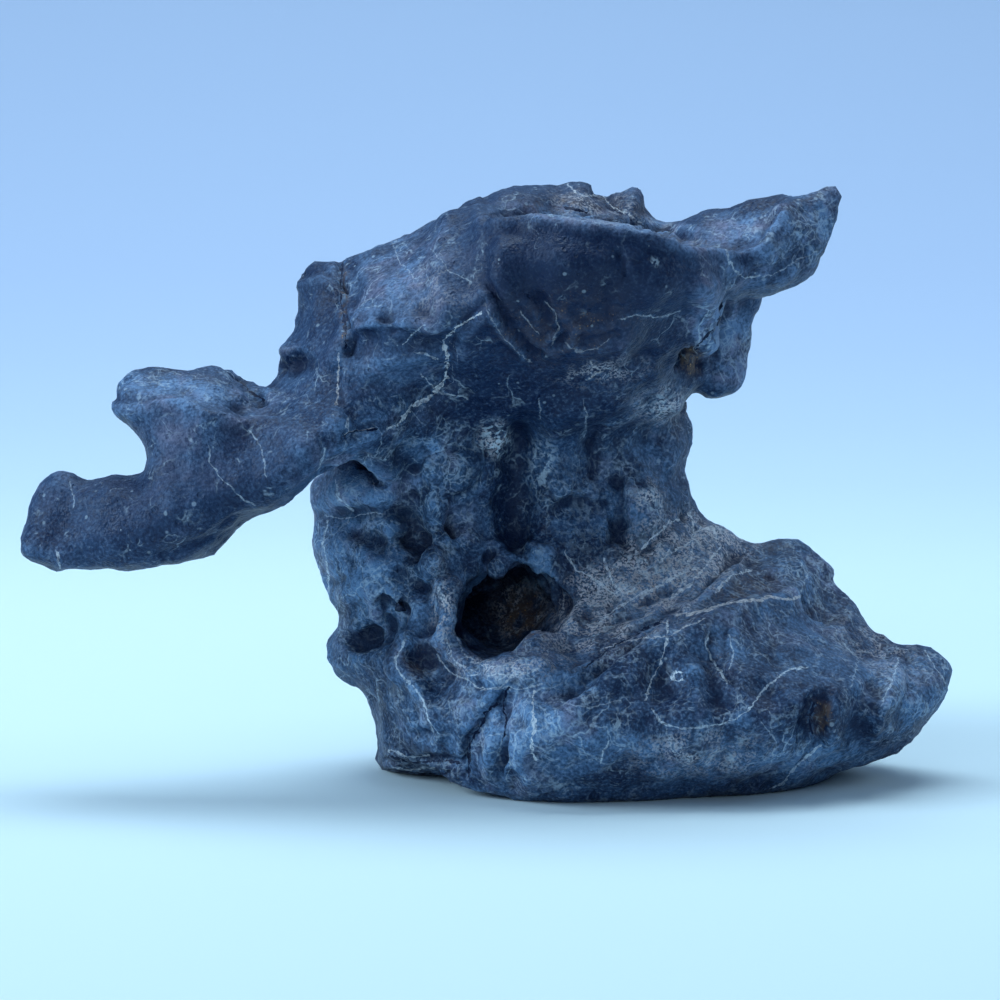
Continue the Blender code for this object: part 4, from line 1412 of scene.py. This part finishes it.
class Grain(Effect):
    """The stone's finest relief: a soft tooth, and pinholes. Each noise is its size and its detail."""

    name = "stone_grain"
    inputs = {"Point": ("Vector", None)}
    outputs = ("Height",)
    swell: Pair = (1.3, 3.0)
    tooth: Pair = (0.4, 1.0)
    tooth_height: float = 0.5
    pinhole_size: float = 1.7
    pinhole_cover: float = 0.3
    pinhole_depth: float = 0.55

    def draw(self, graph: Graph, given: Sockets) -> dict[str, Socket]:
        """Noise at two sizes, less the specks' grains as pinholes.

        Args:
            graph: The group's own tree.
            given: The group's inputs.

        Returns:
            What goes to each output.
        """
        point = given["Point"]
        tooth = graph.times(graph.noise(point, *self.tooth), self.tooth_height)
        total = graph.plus(graph.noise(point, *self.swell), tooth)
        holes = Specks().put(graph, Point=point, Size=self.pinhole_size, Cover=self.pinhole_cover)
        return {"Height": graph.less(total, graph.times(holes["Mask"], self.pinhole_depth))}


@dataclass(frozen=True)
class VeinLayers:
    """How the skin's layers of placed veins are drawn, in millimetres from a vein's middle or its sides."""

    count: int
    wander: Pair = (1.2, 3.0)
    swell: Pair = (1.4, 2.0)
    swell_range: Range = (0.36, 0.64, -0.1, 1.1)
    whole: Pair = (-0.06, 0.2)
    edge: Range = (0.02, 0.1, 1.0, 0.0)
    inside: Range = (-0.08, 0.04, 0.8, 0.0)
    halo: Range = (0.0, 0.8, 1.0, 0.0)
    # gain of the painted shade in open cracks
    crack_shade_gain: float = -1.8

    def draw(self, graph: Graph, point: Source) -> tuple[Source, Source, Source, Source]:
        """Shows the placed veins, whose middle wanders and whose width varies.

        The gap is the distance to the wandering middle less the swollen half width: a line shows where the
        gap is near nothing, and fainter inside that.

        Args:
            graph: The material's tree.
            point: The place in millimetres.

        Returns:
            The mask of every vein, the mask of the film beside them, the warmth of what shows, and the
            mask of the open cracks, painted dark as their shade.
        """
        wander = graph.less(graph.noise(point, *self.wander), 0.5)
        swell = graph.ramp(graph.noise(point, *self.swell), *self.swell_range)
        mask: Source = 0.0
        halo: Source = 0.0
        warmth: Source = 0.0
        crack_shade: Source = 0.0
        for place in range(self.count):
            across, half, warm = graph.parts(graph.layer(f"vein_{place}", "Vector"))
            gap = graph.less(graph.math("ABSOLUTE", graph.plus(across, wander)), graph.times(half, swell))
            whole = graph.ramp(half, *self.whole)
            edge = graph.ramp(graph.math("ABSOLUTE", gap), *self.edge)
            line = graph.times(graph.most(edge, graph.ramp(gap, *self.inside)), whole)
            mask = graph.most(mask, line)
            halo = graph.most(halo, graph.times(graph.ramp(gap, *self.halo), whole))
            warmth = graph.most(warmth, graph.times(line, warm))
            crack_shade = graph.most(crack_shade, graph.times(line, graph.times(warm, self.crack_shade_gain), clamp=True))
        return mask, halo, warmth, crack_shade


@dataclass(frozen=True)
class Texture:
    """What the layers of the weathered finish share: the place in millimetres, noises and the calm mask."""

    point: Source
    broad: Source
    fine: Source
    grit: Source
    chips: Source
    calm: Source


@dataclass(frozen=True)
class WeatheredStone:
    """The rock's skin: satin, dark blue-grey limestone with films, rust, crystals and veins, with painted
    shade in its hollows, crevices, open cracks and shaded places, and painted light in some films.

    A range is two ends of a noise and what they are carried to. A clouding is such a noise's size in
    millimetres, its detail and its wander. A speckling is its lattice's step and its cover. What is calm
    takes a share off the flecks, lines and grit, or adds one to the tinge.
    """

    veins: VeinLayers
    dark: Colour = (0.0020, 0.0105, 0.041, 1.0)
    middle: Colour = (0.021, 0.054, 0.126, 1.0)
    film: Colour = (0.112, 0.225, 0.400, 1.0)
    tinge: Colour = (0.165, 0.175, 0.270, 1.0)
    dust: Colour = (0.480, 0.475, 0.520, 1.0)
    rust: Colour = (0.095, 0.068, 0.060, 1.0)
    ochre: Colour = (0.480, 0.290, 0.130, 1.0)
    pale: Colour = (0.50, 0.62, 0.72, 1.0)
    vein: Colour = (0.68, 0.78, 0.86, 1.0)
    warm_vein: Colour = (0.54, 0.38, 0.29, 1.0)
    relief: float = 0.0003
    sheen: float = 0.2
    satin: float = 0.48
    dulling: float = 0.2
    unevenness: float = 0.12

    broad_share: float = 0.6
    fine_share: float = 0.4
    contrast: float = 0.9
    evening: float = 0.5
    # film on crests: partly wear, partly a painted highlight on ridges
    crest_wear_and_highlight: float = 0.35
    calm_tinge: float = 0.3
    cover: float = 0.85
    # strength of the painted shade
    painted_shade_strength: float = 0.75
    ochre_cover: float = 0.8
    chalk_cover: float = 0.8
    crevice_shade: float = 0.5
    hollow_shade: float = 0.35
    line_cover: float = 0.52
    film_lines: float = 0.4
    calm_lines: float = 0.18
    line_width: float = 0.2
    line_strength: float = 0.5
    sprinkle: float = 0.26
    calm_sprinkle: float = 0.2
    speck_strength: float = 0.3
    halo_strength: float = 0.45
    ochre_grains: Pair = (0.5, 0.55)
    pale_specks: Pair = (1.3, 0.07)

    grit: Triple = (0.5, 3.0, 0.3)
    crumbs: Triple = (0.38, 2.0, 0.2)
    drifts: Triple = (3.0, 3.0, 0.9)
    tinges: Triple = (6.0, 3.0, 0.5)
    blotches: Triple = (1.7, 3.0, 0.6)
    chips: Triple = (0.9, 3.0, 0.9)

    fleck_range: Range = (0.34, 0.66, -0.45, 0.45)
    film_range: Range = (0.2, 1.6, 0.25, 1.3)
    film_grit_range: Range = (0.34, 0.62, 0.5, 1.35)
    tinge_range: Range = (0.45, 0.68, 0.0, 0.7)
    crumb_range: Range = (0.45, 0.57, 0.05, 1.5)
    drift_range: Range = (0.42, 0.57, 0.1, 1.3)
    blotch_range: Pair = (0.36, 0.6)
    chip_range: Pair = (0.47, 0.62)
    sprinkle_range: Pair = (0.56, 0.68)
    line_grit_range: Range = (0.34, 0.6, 0.3, 1.0)
    vein_grit_range: Range = (0.36, 0.6, 0.25, 0.95)

    def texture(self, graph: Graph) -> Texture:
        """Works out what the layers share: the clouds of tone, the fine noises, and the calm mask up to 1.

        Args:
            graph: The material's tree.

        Returns:
            The shared values.
        """
        point = graph.place()
        mottle = Mottle().put(graph, Point=point)
        chips = graph.ramp(graph.noise(point, *self.chips), *self.chip_range)
        calm = graph.math("MINIMUM", graph.layer("calm"), 1.0)
        return Texture(point, mottle["Broad"], mottle["Fine"], graph.noise(point, *self.grit), chips, calm)

    def ground(self, graph: Graph, texture: Texture) -> Source:
        """The stone's own colour: clouds and flecks, evened half way to their mean where it is calm.

        Args:
            graph: The material's tree.
            texture: What the layers share.

        Returns:
            The colour.
        """
        broad = graph.times(texture.broad, self.broad_share)
        cloud = graph.plus(broad, graph.times(texture.fine, self.fine_share))
        flecks = graph.ramp(texture.grit, *self.fleck_range)
        cloud = graph.plus(graph.times(cloud, self.contrast), flecks)
        evened = graph.times(graph.less(0.5, cloud), graph.times(texture.calm, self.evening))
        return graph.mix(graph.plus(cloud, evened, clamp=True), self.dark, self.middle)

    def filmed(self, graph: Graph, texture: Texture, colour: Source) -> tuple[Source, Source]:
        """Lays the film on, in places also painted light, thicker on crests as wear and a painted highlight,
        then the dust in drifts, then the painted shade.

        Args:
            graph: The material's tree.
            texture: What the layers share.
            colour: The colour so far.

        Returns:
            The colour, and the mask of the film.
        """
        # film thicker on crests: partly wear, partly a painted highlight on ridges
        crest_wear_and_highlight = graph.times(graph.layer("crest"), self.crest_wear_and_highlight)
        clouds = graph.ramp(graph.plus(texture.fine, texture.broad), *self.film_range)
        clouds = graph.times(clouds, graph.ramp(texture.grit, *self.film_grit_range))
        # the film mask: a real pale film, and painted light where its patches lie on lit tops and faces
        film = graph.times(graph.plus(graph.layer("patina_and_painted_light"), crest_wear_and_highlight), clouds, clamp=True)
        tinge = graph.ramp(graph.noise(texture.point, *self.tinges), *self.tinge_range)
        tinge = graph.plus(tinge, graph.times(texture.calm, self.calm_tinge), clamp=True)
        colour = graph.mix(film, colour, graph.mix(tinge, self.film, self.tinge))
        crumbs = graph.ramp(graph.noise(texture.point, *self.crumbs), *self.crumb_range)
        drifts = graph.ramp(graph.noise(texture.point, *self.drifts), *self.drift_range)
        dust = graph.times(graph.layer("dust"), graph.times(drifts, crumbs))
        colour = graph.mix(graph.times(dust, self.cover, clamp=True), colour, self.dust)
        # painted shade: darkened toward the dark colour where the shade patches lie
        painted_shade = graph.times(graph.layer("painted_shade"), self.painted_shade_strength, clamp=True)
        return graph.mix(painted_shade, colour, self.dark), film

    def speckled(self, graph: Graph, texture: Texture, speckling: Pair) -> Source:
        """The mask of specks on a lattice of one step, at a share of its seeds."""
        return Specks().put(graph, Point=texture.point, Size=speckling[0], Cover=speckling[1])["Mask"]

    def stained(self, graph: Graph, texture: Texture, colour: Source) -> tuple[Source, Source]:
        """Lays the rust on in blotches, with grains of ochre in it.

        Args:
            graph: The material's tree.
            texture: What the layers share.
            colour: The colour so far.

        Returns:
            The colour, and the mask of the rust.
        """
        blotches = graph.ramp(graph.noise(texture.point, *self.blotches), *self.blotch_range)
        rusty = graph.times(graph.layer("rust"), blotches)
        colour = graph.mix(graph.times(rusty, self.cover, clamp=True), colour, self.rust)
        grains = self.speckled(graph, texture, self.ochre_grains)
        grains = graph.times(graph.times(grains, rusty), self.ochre_cover, clamp=True)
        return graph.mix(grains, colour, self.ochre), rusty

    def lined(self, graph: Graph, texture: Texture, colour: Source) -> Source:
        """Draws the hairlines, more of them in the film, and sprinkles pale grit and specks between them.

        Args:
            graph: The material's tree.
            texture: What the layers share.
            colour: The colour so far.

        Returns:
            The colour.
        """
        cover = graph.plus(self.line_cover, graph.times(graph.layer("patina_and_painted_light"), self.film_lines))
        cover = graph.less(cover, graph.times(texture.calm, self.calm_lines))
        lines = Hairlines().put(graph, Point=texture.point, Cover=cover, Width=self.line_width)["Mask"]
        lines = graph.times(lines, graph.ramp(texture.grit, *self.line_grit_range))
        sprinkled = graph.less(self.sprinkle, graph.times(texture.calm, self.calm_sprinkle))
        lines = graph.most(lines, graph.times(graph.ramp(texture.grit, *self.sprinkle_range), sprinkled))
        colour = graph.mix(graph.times(lines, self.line_strength), colour, self.pale)
        specks = self.speckled(graph, texture, self.pale_specks)
        return graph.mix(graph.times(specks, self.speck_strength), colour, self.pale)

    def veined(self, graph: Graph, texture: Texture, colour: Source) -> Source:
        """Draws the placed veins, ragged and each in a faint film, and paints the open cracks dark as their
        shade.

        Args:
            graph: The material's tree.
            texture: What the layers share.
            colour: The colour so far.

        Returns:
            The colour.
        """
        veins, halo, warmth, crack_shade = self.veins.draw(graph, texture.point)
        halo = graph.times(graph.times(halo, texture.chips), self.halo_strength)
        colour = graph.mix(halo, colour, self.film)
        ragged = graph.times(veins, graph.ramp(texture.grit, *self.vein_grit_range))
        colour = graph.mix(ragged, colour, graph.mix(warmth, self.vein, self.warm_vein))
        # painted shade in the open cracks
        return graph.mix(crack_shade, colour, self.dark)

    def make(self) -> Material:
        """Builds the material.

        Returns:
            The material.
        """
        material, graph = new_material("stone_weathered")
        texture = self.texture(graph)
        colour, film = self.filmed(graph, texture, self.ground(graph, texture))
        colour, rusty = self.stained(graph, texture, colour)
        chalky = graph.times(graph.layer("pale"), texture.chips, clamp=True)
        colour = graph.mix(graph.times(chalky, self.chalk_cover), colour, self.pale)
        colour = self.lined(graph, texture, colour)
        # painted shade: the skin's hollows and crevices are darkened toward the dark colour
        hollow = graph.layer("hollow")
        crevice = graph.times(graph.layer("crevice"), self.crevice_shade)
        shade = graph.plus(crevice, graph.times(hollow, self.hollow_shade), clamp=True)
        colour = self.veined(graph, texture, graph.mix(shade, colour, self.dark))
        dull = graph.plus(graph.plus(film, rusty), graph.plus(chalky, hollow), clamp=True)
        rough = graph.plus(self.satin, graph.times(dull, self.dulling))
        rough = graph.plus(rough, graph.times(graph.less(texture.fine, 0.5), self.unevenness))
        bump = graph.grained(Grain().put(graph, Point=texture.point)["Height"], self.relief)
        graph.finish(Base_Color=colour, Roughness=rough, Normal=bump, Specular_IOR_Level=self.sheen)
        return material


@dataclass(frozen=True)
class SawnStone:
    """The flat sawn underside: greyer, duller and crossed by the saw's faint lines."""

    dark: Colour = (0.045, 0.060, 0.085, 1.0)
    light: Colour = (0.085, 0.105, 0.135, 1.0)
    pale: Colour = (0.34, 0.38, 0.42, 1.0)
    satin: float = 0.55
    unevenness: float = 0.12
    line_cover: float = 0.6
    line_width: float = 0.2
    line_strength: float = 0.5
    speck_size: float = 1.2
    speck_cover: float = 0.12
    speck_strength: float = 0.4
    saw_step: float = 1.4
    saw_wander: float = 0.6
    saw_height: float = 0.5
    relief: float = 0.00008

    def make(self) -> Material:
        """Builds the material.

        Returns:
            The material.
        """
        material, graph = new_material("stone_sawn")
        point = graph.place()
        mottle = Mottle().put(graph, Point=point)
        colour = graph.mix(mottle["Fine"], self.dark, self.light)
        lines = Hairlines().put(graph, Point=point, Cover=self.line_cover, Width=self.line_width)["Mask"]
        colour = graph.mix(graph.times(lines, self.line_strength), colour, self.pale)
        specks = Specks().put(graph, Point=point, Size=self.speck_size, Cover=self.speck_cover)["Mask"]
        colour = graph.mix(graph.times(specks, self.speck_strength), colour, self.pale)
        rough = graph.plus(self.satin, graph.times(mottle["Broad"], self.unevenness))
        bands = {"Vector": point, "Scale": 1 / self.saw_step, "Distortion": self.saw_wander, "Detail": 1.0}
        saw = graph.add("TexWave", bands, bands_direction="Y").outputs["Fac"]
        height = graph.plus(Grain().put(graph, Point=point)["Height"], graph.times(saw, self.saw_height))
        graph.finish(Base_Color=colour, Roughness=rough, Normal=graph.grained(height, self.relief))
        return material


@dataclass(frozen=True)
class Backdrop:
    """Pale matt paper, a deeper blue as it runs back."""

    floor: Colour = (0.65, 0.79, 0.84, 1.0)
    rise: Colour = (0.49, 0.61, 0.80, 1.0)
    depths: Pair = (0.15, 0.64)
    roughness: float = 0.9
    sheen: float = 0.1

    def make(self) -> Material:
        """Builds the material.

        Returns:
            The material.
        """
        material, graph = new_material("paper")
        back = graph.parts(graph.add("TexCoord").outputs["Object"])[1]
        colour = graph.mix(graph.ramp(back, *self.depths), self.floor, self.rise)
        graph.finish(Base_Color=colour, Roughness=self.roughness, Specular_IOR_Level=self.sheen)
        return material


@dataclass(frozen=True)
class Softbox:
    """A soft square light: where it hangs, what it points at, its sides, power and colour."""

    name: str
    place: Triple
    target: Triple
    sides: Pair
    power: float
    colour: Triple

    def hang(self) -> Object:
        """Adds the light to the scene, turned to its target.

        Returns:
            The light.
        """
        data = bpy.data.lights.new(self.name, "AREA")
        data.shape = "RECTANGLE"
        data.size, data.size_y = self.sides
        data.energy = self.power
        data.color = self.colour
        light = bpy.data.objects.new(self.name, data)
        light.location = self.place
        aim = Vector(self.target) - Vector(self.place)
        light.rotation_euler = aim.to_track_quat("-Z", "Y").to_euler()
        bpy.context.scene.collection.objects.link(light)
        return light


@dataclass
class Studio:
    """The floor, the backdrop, the lights and the camera, in metres."""

    half_width: float = 2.2
    front: float = -2.2
    bend_start: float = 0.30
    bend_radius: float = 1.15
    top: float = 1.6
    floor_steps: int = 11
    bend_steps: int = 24
    side_steps: int = 9
    lens: float = 149.04
    sensor: float = 36.0
    clip: Pair = (0.01, 20.0)
    sky: Colour = (0.30, 0.48, 0.78, 1.0)
    sky_strength: float = 0.26
    softboxes: tuple[Softbox, ...] = (
        Softbox("overhead", (0.02, 0.16, 0.80), (0.0, 0.02, 0.03), (0.7, 0.5), 5.4, (0.70, 0.88, 1.0)),
        Softbox("left", (-0.85, -0.22, 0.50), (0.0, 0.0, 0.04), (0.45, 0.45), 7.5, (0.66, 0.85, 1.0)),
        Softbox("right_back", (0.90, 0.20, 0.50), (0.0, 0.0, 0.04), (0.5, 0.5), 2.0, (0.66, 0.85, 1.0)),
        Softbox("front", (-0.30, -1.10, 0.45), (0.0, 0.0, 0.04), (0.6, 0.4), 2.2, (0.70, 0.86, 1.0)),
        Softbox("backdrop", (0.0, 0.35, 1.00), (0.0, 1.30, 0.2), (2.0, 0.5), 3.8, (0.62, 0.82, 1.0)),
    )
    sheet: Sheet = field(default_factory=Sheet)

    def sweep(self) -> Object:
        """Makes a floor that bends up into a wall behind.

        Its profile is a level line, a quarter circle and an upright line, and is repeated sideways.

        Returns:
            The floor.
        """
        angles = np.linspace(-math.pi / 2, 0, self.bend_steps)
        bend_y = self.bend_start + self.bend_radius * np.cos(angles)
        bend_z = self.bend_radius * (1 + np.sin(angles))
        level = np.linspace(self.front, self.bend_start, self.floor_steps + 1)[:-1]
        profile_y = np.concatenate([level, bend_y, [bend_y[-1]]])
        profile_z = np.concatenate([np.zeros(self.floor_steps), bend_z, [self.top]])
        across = np.linspace(-self.half_width, self.half_width, self.side_steps)
        count = len(profile_y)
        sideways = np.repeat(across, count)
        sides = len(across)
        spots = np.column_stack([sideways, np.tile(profile_y, sides), np.tile(profile_z, sides)])
        corner = (np.arange(sides - 1)[:, None] * count + np.arange(count - 1)[None]).ravel()
        faces = np.column_stack([corner, corner + count, corner + count + 1, corner + 1])
        mesh = bpy.data.meshes.new("paper_sweep")
        mesh.from_pydata(spots.tolist(), [], faces.tolist())
        mesh.polygons.foreach_set("use_smooth", np.ones(len(faces), bool))
        mesh.materials.append(Backdrop().make())
        floor = bpy.data.objects.new("paper_sweep", mesh)
        bpy.context.scene.collection.objects.link(floor)
        return floor

    def sky_light(self) -> None:
        """Fills the room with dim, blue light."""
        world = bpy.data.worlds.new("room")
        world.use_nodes = True
        background = world.node_tree.nodes["Background"]
        background.inputs["Color"].default_value = self.sky
        background.inputs["Strength"].default_value = self.sky_strength
        bpy.context.scene.world = world

    def camera(self) -> Object:
        """Sets the camera at the sheet's own eye, looking along its sight.

        Returns:
            The camera.
        """
        data = bpy.data.cameras.new("camera")
        data.lens = self.lens
        data.sensor_width = self.sensor
        data.clip_start, data.clip_end = self.clip
        camera = bpy.data.objects.new("camera", data)
        camera.location = Vector(self.sheet.eye) * MM
        camera.rotation_euler = (math.radians(90 - self.sheet.tilt), 0, 0)
        bpy.context.scene.collection.objects.link(camera)
        bpy.context.scene.camera = camera
        return camera

    def build(self) -> None:
        """Sets up everything round the rock."""
        self.sweep()
        for softbox in self.softboxes:
            softbox.hang()
        self.sky_light()
        self.camera()
        bpy.context.scene.view_settings.view_transform = "Standard"
        LOG.info("studio: %d lights", len(self.softboxes))


def main() -> None:
    """Builds the rock and its studio."""
    logging.basicConfig(level=logging.INFO, format="%(name)s: %(message)s")
    rock = Rock()
    weathered = WeatheredStone(VeinLayers(rock.vein_layers)).make()
    rock.build(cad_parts[NODE], weathered, SawnStone().make())
    Studio().build()


if __name__ == "__main__":
    main()
